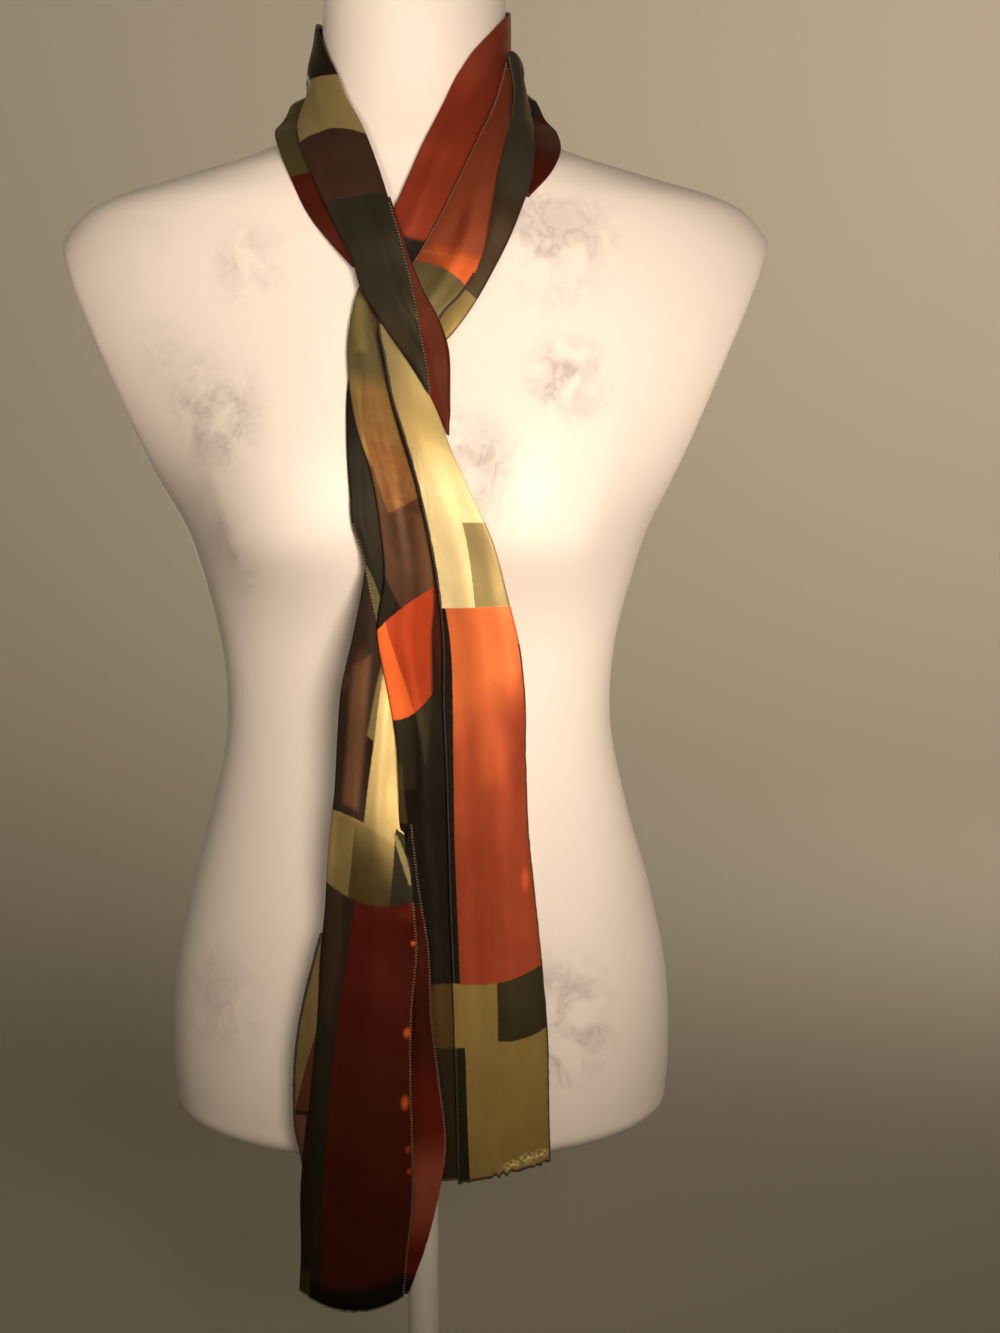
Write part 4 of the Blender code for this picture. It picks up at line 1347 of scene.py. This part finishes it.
inner = Sheet(
    chain(neck_rows(INNER_NECK), front_rows(INNER_RIGHT)),
    folds=(
        (0.35, 0.30, 4.0, 0.8, 0.18, 0.40),
        (0.20, 0.35, 4.0, 0.5, 0.40, 0.62),
        (0.45, 0.35, 5.0, -0.3, 0.42, 0.66),
        (0.30, 0.35, 3.5, 0.7, 0.60, 0.98),
    ),
    ruffle=0.0003,
    seed=7,
)
BRONZE_START = ((360, 262), (425, 290))
PANEL_END = ((387, 515), (415, 500))
PANEL_SIDE = ((361, 393), (364, 435), (388, 513))
INNER_ORANGE_START = ((387, 621), (400, 610), (433, 588))
INNER_ORANGE_END = ((393, 721), (404, 719), (439, 684))
LOW_GOLD_START = ((433, 985), (458, 983))
LOW_GOLD_END = ((437, 1049), (466, 1048))
inner_print = (
    Print(inner, "rust")
    # painted shadow: the dark pocket where this sheet runs under the crossing
    .block("near_black", (425, 252), across=[((412, 238), (434, 244))], soft=0.002)
    .block("bronze", (372, 410), across=[BRONZE_START])
    .block("umber", (400, 570), across=[((351, 455), (392, 465))], soft=0.007)
    .block(
        "brown", (400, 570), across=[((351, 384), (392, 398))], soft=0.004, strength=0.12, specks=110,
    )
    .block("gold_brown", (390, 450), across=[PANEL_END], along=[PANEL_SIDE], soft=0.001)
    .block(
        "gold", (392, 450), across=[PANEL_END], along=[PANEL_SIDE], soft=0.0015, strength=0.12,
        specks=110,
    )
    .block(
        "gold", (380, 400), across=[BRONZE_START, ((351, 425), (392, 435))], soft=0.016,
        strength=0.25,
    )
    .block("shade_olive", (375, 330), across=[BRONZE_START, ((351, 379), (392, 389))], soft=0.009)
    .block(
        "pale_olive", (361, 320), across=[((350, 296), (372, 302)), ((350, 350), (372, 352))],
        along=[((356, 292), (357, 350)), ((367, 292), (366, 350))], soft=0.003, strength=0.45,
    )
    # partly dark print, partly painted shadow: the dark wedge beside the tip of the front sheet
    .block(
        "umber", (378, 320), across=[((360, 290), (380, 296)), ((370, 345), (384, 347))],
        along=[((368, 300), (377, 345))], soft=0.0012, strength=0.8,
    )
    .block(
        "light_brown", (428, 560), across=[((400, 520), (440, 512))],
        along=[((414, 510), (420, 560), (424, 620))], soft=0.005,
    )
    .block(
        "umber", (386, 580), along=[((367, 522), (381, 565), (397, 605))],
        across=[((356, 535), (372, 530))], soft=0.0016,
    )
    .block(
        "near_black", (386, 600), along=[((369, 535), (383, 572), (400, 607))],
        across=[((360, 545), (378, 540))], soft=0.0006,
    )
    .block("deep_orange", (415, 650), across=[INNER_ORANGE_START, INNER_ORANGE_END])
    .block(
        "bright_orange", (388, 660), across=[INNER_ORANGE_START, INNER_ORANGE_END],
        along=[((385, 621), (395, 655), (410, 700))], soft=0.0006,
    )
    .block("near_black", (425, 850), across=[INNER_ORANGE_END])
    .block(
        "moss", (433, 720), across=[INNER_ORANGE_END, ((400, 830), (446, 830))],
        along=[((414, 705), (432, 830))], soft=0.0007, strength=0.9,
    )
    .block(
        "moss", (403, 760), across=[INNER_ORANGE_END, ((396, 790), (446, 790))],
        along=[((411, 705), (418, 830))], soft=0.002, strength=0.6,
    )
    .block(
        "olive", (401, 795), across=[((396, 765), (420, 765)), ((400, 824), (420, 824))],
        along=[((402, 745), (404, 790), (408, 826))], soft=0.0012, strength=0.3,
    )
    .block("low_gold", (445, 1015), across=[LOW_GOLD_START, LOW_GOLD_END])
    .block("moss", (450, 1120), across=[LOW_GOLD_END])
    # painted shadow: a dark strip along the left hem of the front sheet that lies over this one
    .block(
        "black_green", (430, 520), across=[((372, 330), (420, 345)), LOW_GOLD_START],
        along=[((377, 345), (400, 440), (434, 600))], soft=0.0012,
    )
    .block(
        "deep_red", (440, 650), across=[((425, 585), (445, 580)), ((436, 708), (452, 700))],
        along=[((430, 560), (434, 600), (441, 690))], soft=0.002, strength=0.85,
    )
    .spot("umber", (355, 412), (0.0045, 0.028), strength=0.45)
    # painted light: the top of this sheet lighter near the neck
    .spot("pink_brown", (478, 62), (0.014, 0.035), strength=0.35)
)

right_front = Sheet(
    front_rows(RIGHT_FRONT),
    folds=(
        (0.55, 0.60, 5.0, 0.8, 0.05, 0.26),
        (0.40, 0.45, 9.0, 1.1, 0.28, 0.62),
        (0.85, 0.80, 6.0, 0.5, 0.42, 0.70),
        (0.25, 0.30, 5.0, -0.6, 0.50, 0.95),
        (0.65, 0.60, 7.0, 0.9, 0.60, 0.99),
    ),
    puckers=(
        ("last", 1.60, 7, 7, 0.30, 1.0),
        ("last", 0.80, 6, 8, 0.0, 0.35),
        (1, 0.40, 5, 11, 0.52, 1.0),
        (0, 0.25, 4, 8, 0.02, 1.0),
    ),
    crown=0.0010,
    seed=11,
)
RUST_END = ((422, 274), (440, 279), (467, 300))
SHADE_END = ((395, 300), (441, 330))
ORANGE_START = ((441, 609), (509, 606))
ORANGE_END = ((463, 985), (500, 983), (541, 965))
right_print = (
    Print(right_front, "yellow")
    .block("orange_brown", (470, 200), across=[((422, 250), (478, 262))])
    .block("rust_orange", (462, 262), across=[((430, 246), (482, 258)), RUST_END], soft=0.006)
    .block(
        "hot_orange", (467, 283), across=[((430, 252), (482, 263)), RUST_END],
        along=[((440, 250), (446, 290))], soft=0.007,
    )
    .block("shade_olive", (440, 290), across=[((422, 262), (440, 267), (467, 288)), SHADE_END])
    # painted shade: the top of this sheet darker, in a long soft fade
    .block(
        "top_olive_shade", (392, 345), across=[SHADE_END, ((390, 410), (443, 398))], soft=0.026,
        strength=0.9,
    )
    # painted light: a middle step of the fade from the shaded top to the lit middle
    .block(
        "khaki", (430, 440), across=[((395, 360), (441, 350)), ((404, 500), (460, 480))],
        along=[((402, 360), (452, 500))], soft=0.012, strength=0.8,
    )
    # painted highlight: the brightly lit middle of this sheet, with soft edges
    .block(
        "cream_highlight", (450, 570), across=[((415, 466), (465, 462)), ((430, 680), (520, 678))], soft=0.02,
    )
    .block(
        "grey_olive", (485, 565), across=[((462, 523), (485, 523)), ORANGE_START],
        along=[((462, 523), (475, 607))],
    )
    .block("orange", (490, 700), across=[ORANGE_START])
    # painted shade, in two soft steps with the next block: the orange darker lower down, where the cloth
    # turns away from the light
    .block("rust_shade", (490, 880), across=[((446, 730), (526, 680))], soft=0.02, strength=0.9)
    .block("brick", (490, 880), across=[((446, 830), (526, 800))], soft=0.03, strength=0.6)
    # partly dark print, partly painted shadow: the dark strip along the left hem, beside the gap
    .block(
        "black_green", (447, 800), across=[ORANGE_START, ORANGE_END],
        along=[((446, 612), (454, 800), (460, 983))],
    )
    # painted highlight: a brighter streak down the middle of the orange
    .block(
        "orange", (488, 740), across=[((446, 702), (526, 690)), ((448, 785), (526, 780))],
        along=[((478, 700), (480, 780)), ((497, 700), (499, 780))], soft=0.006, strength=0.35,
    )
    .block("gold", (500, 1080), across=[ORANGE_END])
    .block(
        "rect_green", (520, 1000), across=[ORANGE_END, ((498, 1042), (520, 1040), (544, 1029))],
        along=[((497, 981), (498, 1042))],
    )
    .block("dark_green", (461, 1120), across=[LOW_GOLD_END], along=[((465, 1048), (470, 1181))])
    # painted glints: a faint pale wash on the crumpled bottom hem, under the sparkles
    .block(
        "yellow", (525, 1160), across=[((496, 1168), (552, 1148))],
        along=[((495, 1150), (497, 1180))], soft=0.004, strength=0.45,
    )
    # painted glint at the right edge
    .spot("bright_orange", (525, 880), (0.0035, 0.011), strength=0.7)
    # painted shade on the right of the orange
    .spot("rust", (516, 752), (0.01, 0.042), strength=0.65)
    # painted shade in a fold
    .spot("red", (463, 226), (0.006, 0.017), strength=0.6)
    # painted glints: sparkles on the crumpled bottom hem
    .spot("highlight_yellow", (511, 1165), (0.007, 0.0045), specks=430)
    .spot("highlight_yellow", (527, 1159), (0.008, 0.0055), specks=430)
    .spot("highlight_yellow", (541, 1154), (0.0065, 0.0045), specks=430)
    # painted glint
    .spot("gold", (474, 1175), (0.0022, 0.0036), strength=0.7)
)

left_under = Sheet(
    front_rows(LEFT_UNDER),
    lips=(0.0006, ((0, 0.5, 0.65, 0.85, 1.0), (0.0006, 0.0008, 0.0026, 0.0024, 0.0006))),
    folds=((0.45, 0.55, 3.0, 0.5, 0.2, 0.9),),
    seed=13,
)
under_print = (
    Print(left_under, "red")
    .block("umber", (440, 360), along=[((400, 250), (436, 400))], soft=0.003, strength=0.5)
)

behind = Sheet(front_rows(BEHIND), folds=((0.12, 0.12, 3.0, 0.4, 0.1, 0.9),), seed=17)
behind_print = (
    Print(behind, "soot")
    .block(
        "strip_olive", (372, 592), across=[((360, 567), (380, 568))],
        along=[((367, 566), (378, 592), (386, 618))],
    )
)

tail_front = Sheet(
    front_rows(TAIL_FRONT),
    folds=(
        (0.30, 0.25, 6.0, 1.0, 0.02, 0.42),
        (0.75, 0.60, 5.0, 1.6, 0.08, 0.40),
        (0.55, 0.55, 9.0, 1.5, 0.42, 0.98),
        (0.12, 0.14, 3.0, 0.7, 0.40, 0.99),
        (0.26, 0.24, 2.5, -0.5, 0.45, 0.99),
    ),
    puckers=((1, 0.50, 5, 13, 0.42, 1.0), ("last", 0.45, 6, 9, 0.0, 1.0)),
    crown=0.0012,
    seed=19,
    dip=0.011,
)
TAIL_BROWN_END = ((333, 810), (357, 820), (363, 823))
TAIL_RED_START = ((327, 883), (347, 897), (388, 907))
tail_print = (
    Print(tail_front, "pale_yellow")
    # painted shade: the yellow fading to dark olive lower down
    .block("low_olive_shade", (360, 890), across=[((362, 794), (392, 839))], soft=0.045)
    .block(
        "dark_brown", (350, 700), across=[TAIL_BROWN_END],
        along=[((381, 684), (374, 743), (364, 823))], soft=0.0005,
    )
    .block("dark_brown", (380, 600), across=[((345, 684), (402, 670))])
    .block(
        "light_brown", (354, 740), across=[((342, 672), (372, 655)), ((333, 800), (357, 810))],
        along=[((354, 665), (342, 812)), ((370, 665), (365, 740), (357, 815))], soft=0.0022,
        strength=0.9,
    )
    .block(
        "grey_olive", (374, 710), across=[((367, 736), (375, 743))],
        along=[((379, 676), (372, 710), (367, 736)), ((381, 689), (379, 700), (375, 736))],
        soft=0.001, strength=0.7,
    )
    .block(
        "side_olive", (340, 860), across=[TAIL_BROWN_END],
        along=[((356, 822), (352, 855), (348, 897))],
    )
    .block(
        "moss", (340, 840), across=[((333, 812), (357, 822), (363, 825))],
        along=[((337, 822), (331, 900))], soft=0.0025, strength=0.3,
    )
    .block(
        "dark_green", (400, 890), across=[((388, 822), (412, 842))],
        along=[((396, 828), (393, 870), (389, 907))],
    )
    .block(
        "pale_olive", (401, 858), across=[((388, 830), (406, 842)), ((395, 882), (412, 886))],
        along=[((395, 842), (402, 865), (409, 885)), ((398, 838), (406, 858), (411, 885))],
        soft=0.0006, strength=0.9,
    )
    .block("tail_red", (370, 1000), across=[TAIL_RED_START])
    .block("tail_low", (370, 1150), across=[((315, 1060), (411, 1060))], soft=0.04)
    .block(
        "dark_brown", (330, 1000), across=[TAIL_RED_START],
        along=[((354, 901), (334, 1050), (320, 1290))],
    )
    .block(
        "grey_brown", (337, 960), across=[TAIL_RED_START, ((318, 1030), (350, 1030))],
        along=[((327, 897), (318, 1070)), ((342, 897), (330, 1070))], soft=0.002, strength=0.6,
    )
    .block(
        "dark_green", (322, 1150), across=[((310, 1020), (350, 1020))],
        along=[((318, 1040), (308, 1270)), ((331, 1040), (316, 1270))], soft=0.004,
    )
    .block("near_black", (360, 1300), across=[((300, 1275), (350, 1290), (406, 1272))], soft=0.006)
    .block(
        "dark_olive", (303, 1285), across=[((298, 1270), (312, 1272))],
        along=[((310, 1266), (310, 1300))],
    )
    # painted highlight on the upper left of the yellow
    .spot("highlight_yellow", (385, 738), (0.0075, 0.03), strength=0.45)
    .spot("brown", (361, 660), (0.005, 0.01), strength=0.5)
    .spot("grey_brown", (345, 682), (0.006, 0.008), strength=0.8)
    .spot("red", (407, 914), (0.007, 0.008), strength=0.8)
    # painted glints: small orange glints on crumples beside the right hem
    .spot("bright_orange", (413, 944), (0.002, 0.0024))
    .spot("bright_orange", (407, 1033), (0.0032, 0.0048), strength=0.8)
    .spot("bright_orange", (405, 1103), (0.0034, 0.0064), strength=0.8)
    .spot("bright_orange", (408, 1150), (0.0024, 0.0038), strength=0.35)
    .spot("bright_orange", (409, 1172), (0.0022, 0.0034), strength=0.35)
)

flap = Sheet(
    front_rows(TAIL_FLAP),
    folds=((0.60, 0.60, 4.0, 0.6, 0.1, 0.95),),
    puckers=((1, 0.40, 5, 10, 0.0, 1.0), ("last", 0.35, 5, 7, 0.0, 1.0)),
    seed=23,
    dip=0.003,
)
flap_print = (
    Print(flap, "dark_wine")
    .block("black_green", (408, 860), across=[((400, 903), (422, 907))])
    .block("red", (425, 1120), across=[((395, 1080), (440, 1075))], soft=0.022)
    .block(
        "pink_brown", (425, 1190), across=[((395, 1158), (440, 1151)), ((388, 1236), (428, 1231))],
        soft=0.017, strength=0.7,
    )
    .block("black_green", (400, 1290), across=[((386, 1277), (412, 1277))], soft=0.003)
)

tail_back = Sheet(
    front_rows(TAIL_BACK),
    folds=((0.25, 0.25, 3.5, 0.5, 0.1, 0.9),),
    puckers=((0, 0.40, 5, 10, 0.0, 1.0),),
    seed=29,
)
back_print = (
    Print(tail_back, "back_olive")
    .block("back_brown", (305, 1100), across=[((314, 1040), (303, 1078))])
    .block(
        "pink_shade", (301, 1130), across=[((295, 1113), (310, 1114)), ((298, 1154), (310, 1155))],
        along=[((306, 1110), (308, 1156))], soft=0.0012, strength=0.8,
    )
    .block(
        "near_black", (300, 1113), across=[((294, 1111), (310, 1112)), ((294, 1115), (310, 1116))],
        strength=0.8,
    )
    .block("dark_brown", (325, 1250), across=[((300, 1165), (345, 1165))], soft=0.002)
)

# Columns: piece, its sheet and print, the width and length of its cloth in metres, and the solids that
# it stands for.
PIECES = (
    (
        "cloth_over",
        over,
        over_print,
        (0.046, 0.63),
        ("scarf_left_front", "scarf_neck_top", "scarf_right_outer"),
    ),
    (
        "cloth_shoulder",
        shoulder,
        shoulder_print,
        (0.049, 0.44),
        ("scarf_left_outer", "scarf_neck_under", "scarf_right_back"),
    ),
    ("cloth_inner", inner, inner_print, (0.046, 1.03), ("scarf_neck_inner", "scarf_right_under")),
    ("cloth_right_front", right_front, right_print, (0.047, 0.79), ("scarf_right_front",)),
    ("cloth_left_under", left_under, under_print, (0.024, 0.16), ("scarf_left_under", "scarf_turn")),
    ("cloth_behind", behind, behind_print, (0.050, 0.19), ("scarf_wrap_behind",)),
    ("cloth_tail_front", tail_front, tail_print, (0.062, 0.495), ("scarf_left_tail_front",)),
    ("cloth_tail_flap", flap, flap_print, (0.032, 0.315), ("scarf_left_tail_flap",)),
    ("cloth_tail_back", tail_back, back_print, (0.040, 0.245), ("scarf_left_tail_back",)),
)

# A thread's colour, its hem's own colour where that isn't the print's, and the hem's radius in metres.
THREADS = {
    "light": ("a08a62", None, HEM_RADIUS),
    "beads": ("8a7a68", None, HEM_RADIUS),
    "brick": ("96684c", "4a2416", HEM_RADIUS),
    "rose": ("a08070", None, HEM_RADIUS),
    "dark": ("4a3a24", "2a1c10", 0.0010),
    "fine": ("5a4a30", "33241a", 0.0006),
    "olive": ("6e5d3a", None, HEM_RADIUS),
    "shade": ("8a8260", "6a6448", HEM_RADIUS),
    # partly painted shade: this near-black hem and thread stand for the shadow in a gap as well as for
    # the stitches
    "black": ("1e1a12", "1a140c", 0.0008),
}

# Columns: the sheet, its side, the places of the front view where the hem starts and ends, or the
# side's own end, and its thread.
HEMS = (
    ("cloth_over", 0, None, (390, 205), "beads"),
    ("cloth_over", 0, (520, 85), (440, 330), "dark"),
    ("cloth_right_front", 0, None, (410, 262), "brick"),
    # partly painted shade: these two hems are dark for the shadow in the gap beside them as well as for
    # the stitched hem
    ("cloth_right_front", 0, (380, 322), (441, 606), "dark"),
    ("cloth_right_front", 0, (441, 606), (460, 983), "black"),
    ("cloth_right_front", 0, (460, 983), None, "olive"),
    ("cloth_right_front", 1, (474, 275), (441, 318), "dark"),
    ("cloth_right_front", 1, (519, 645), None, "fine"),
    ("cloth_right_front", "last", None, None, "dark"),
    ("cloth_inner", "last", None, None, "dark"),
    ("cloth_behind", 0, (352, 523), None, "light"),
    ("cloth_tail_front", 1, (414, 905), None, "light"),
    ("cloth_tail_front", "last", None, None, "shade"),
    ("cloth_tail_flap", 1, None, (446, 1167), "rose"),
    ("cloth_tail_flap", "last", None, None, "dark"),
    ("cloth_tail_back", 0, None, None, "dark"),
)


def add_scarf():
    """The sheets of cloth with their prints, and the hems and stitches along their edges."""
    threads = {}
    for name, (code, hem_code, size) in THREADS.items():
        edging = None
        if hem_code:
            edging = plain_finish("hem_" + name, hem_code, 0.6, grain=900.0)
        threads[name] = plain_finish("thread_" + name, code, 0.6, grain=2500.0), edging, size
    tree, sockets = stitch_tree()
    made = {}
    for name, sheet, chart, _, _ in PIECES:
        material = printed_satin_with_painted_light(name + "_print", chart)
        made[name] = sheet, add_cloth(name, sheet, material), material, []
    for number, (name, side, start, end, thread) in enumerate(HEMS):
        sheet, _, material, extras = made[name]
        thread, edging, size = threads[thread]
        line = hem_line(sheet, side, start, end)
        hem, line = add_hem(f"hem_{number}", line, edging or material, size)
        stitches = add_stitches(f"stitches_{number}", line, thread, size, tree, sockets)
        extras += [hem, stitches]
    for name, _, _, flat, nodes in PIECES:
        _, piece, _, extras = made[name]
        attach(piece, "root")
        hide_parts(*nodes)
        for extra in extras:
            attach(extra, "root")


# ---- Floor, light and camera ---------------------------------------------------------------------


def floor_paper():
    """Plain pale paper."""
    return Paint("floor_paper").finish({"Base Color": (*linear("b5ab98"), 1), "Roughness": 0.9})


STAGE_RADIUS = 4.5
STAGE_CORNER = 2.2  # radius of the curve between floor and wall
STAGE_TOP = 5.0
STAGE_DROP = 0.0005  # how far the paper lies under the stand
STAGE_STEPS = 128


def add_stage():
    """A round floor that curves up into a wall, open at the top."""
    flat = STAGE_RADIUS - STAGE_CORNER
    profile = [(flat, 0)]
    for t in np.linspace(0, math.pi / 2, 24)[1:]:
        profile.append((flat + STAGE_CORNER * math.sin(t), STAGE_CORNER - STAGE_CORNER * math.cos(t)))
    profile += [(STAGE_RADIUS, STAGE_TOP)]
    points = turned_rings(profile, STAGE_STEPS)
    points[..., 2] -= STAGE_DROP
    faces = [face[::-1] for face in tube_faces(len(profile), STAGE_STEPS)]
    stage = add_mesh("floor", points, faces[:-1], floor_paper())


def add_light(name, place, aim, size, power, beam, colour):
    """A round soft light: metres, watts and degrees."""
    data = bpy.data.lights.new(name, "AREA")
    data.shape = "DISK"
    data.size = size
    data.energy = power
    data.spread = math.radians(beam)
    data.color = colour
    light = add_object(name, data)
    light.location = place
    light.rotation_euler = (Vector(aim) - Vector(place)).to_track_quat("-Z", "Y").to_euler()


def add_camera():
    data = bpy.data.cameras.new("camera")
    data.sensor_width = SENSOR
    data.sensor_fit = "AUTO"
    data.lens = SHEET_FOCUS * SENSOR / SHEET_LONG_SIDE
    camera = add_object("camera", data)
    camera.location = EYE
    camera.rotation_euler = (math.pi / 2 - EYE_PITCH, 0, 0)
    bpy.context.scene.camera = camera


WARM = (1.0, 0.87, 0.73)
# Columns: name, place, aim, size in metres, power in watts, width of the beam in degrees, colour.
LIGHTS = (
    ("key", (0.30, -1.15, 0.85), (0.0, 0, 0.78), 0.40, 1.95, 75, WARM),
    ("hip", (0.50, -1.05, 0.60), (0.09, 0, 0.48), 0.30, 0.12, 30, WARM),
    ("bust", (0.45, -1.05, 0.72), (0.09, 0, 0.70), 0.30, 0.15, 24, WARM),
    ("hip_left", (-0.50, -1.05, 0.60), (-0.10, 0, 0.45), 0.30, 0.06, 26, WARM),
    ("bust_left", (-0.30, -1.15, 0.90), (-0.12, 0, 0.71), 0.30, 0.04, 18, WARM),
    ("shoulder", (-0.70, -0.90, 1.10), (-0.17, 0, 0.84), 0.30, 0.045, 24, WARM),
    ("neck", (0.10, -1.15, 1.10), (0.0, 0, 1.02), 0.30, 0.035, 22, WARM),
    ("neck_left", (-0.40, -1.00, 1.10), (-0.03, 0, 1.00), 0.30, 0.09, 22, WARM),
    ("back", (-0.6, 1.6, 0.75), (0, 0, 0.85), 0.80, 1.2, 60, (1.0, 0.88, 0.76)),
    ("wall", (1.25, 1.0, 3.0), (1.25, 4.0, 1.6), 1.50, 66.0, 140, (1.0, 0.89, 0.79)),
    ("wall_left", (-1.5, 1.0, 3.0), (-1.5, 4.2, 2.1), 1.50, 6.0, 110, (1.0, 0.95, 0.90)),
    ("floor_right", (1.30, 1.40, 1.10), (0.70, 1.15, 0.0), 0.90, 1.4, 100, (1.0, 0.90, 0.82)),
)
ROOM_COLOUR = (0.92, 1.0, 0.92, 1)
ROOM_LIGHT = 0.12


def add_lights():
    for row in LIGHTS:
        add_light(*row)
    world = bpy.data.worlds.new("room")
    world.use_nodes = True
    background = world.node_tree.nodes["Background"].inputs
    background[0].default_value = ROOM_COLOUR
    background[1].default_value = ROOM_LIGHT
    bpy.context.scene.world = world


bpy.context.scene.view_settings.view_transform = "Standard"
form = add_form(marbled_shell())
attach(form, "root")
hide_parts("form_torso")
add_stand(plain_finish("white_enamel", "e6e0d4", 0.35), plain_finish("socket_plastic", "d2cbbd", 0.5))
add_scarf()
add_stage()
add_lights()
add_camera()
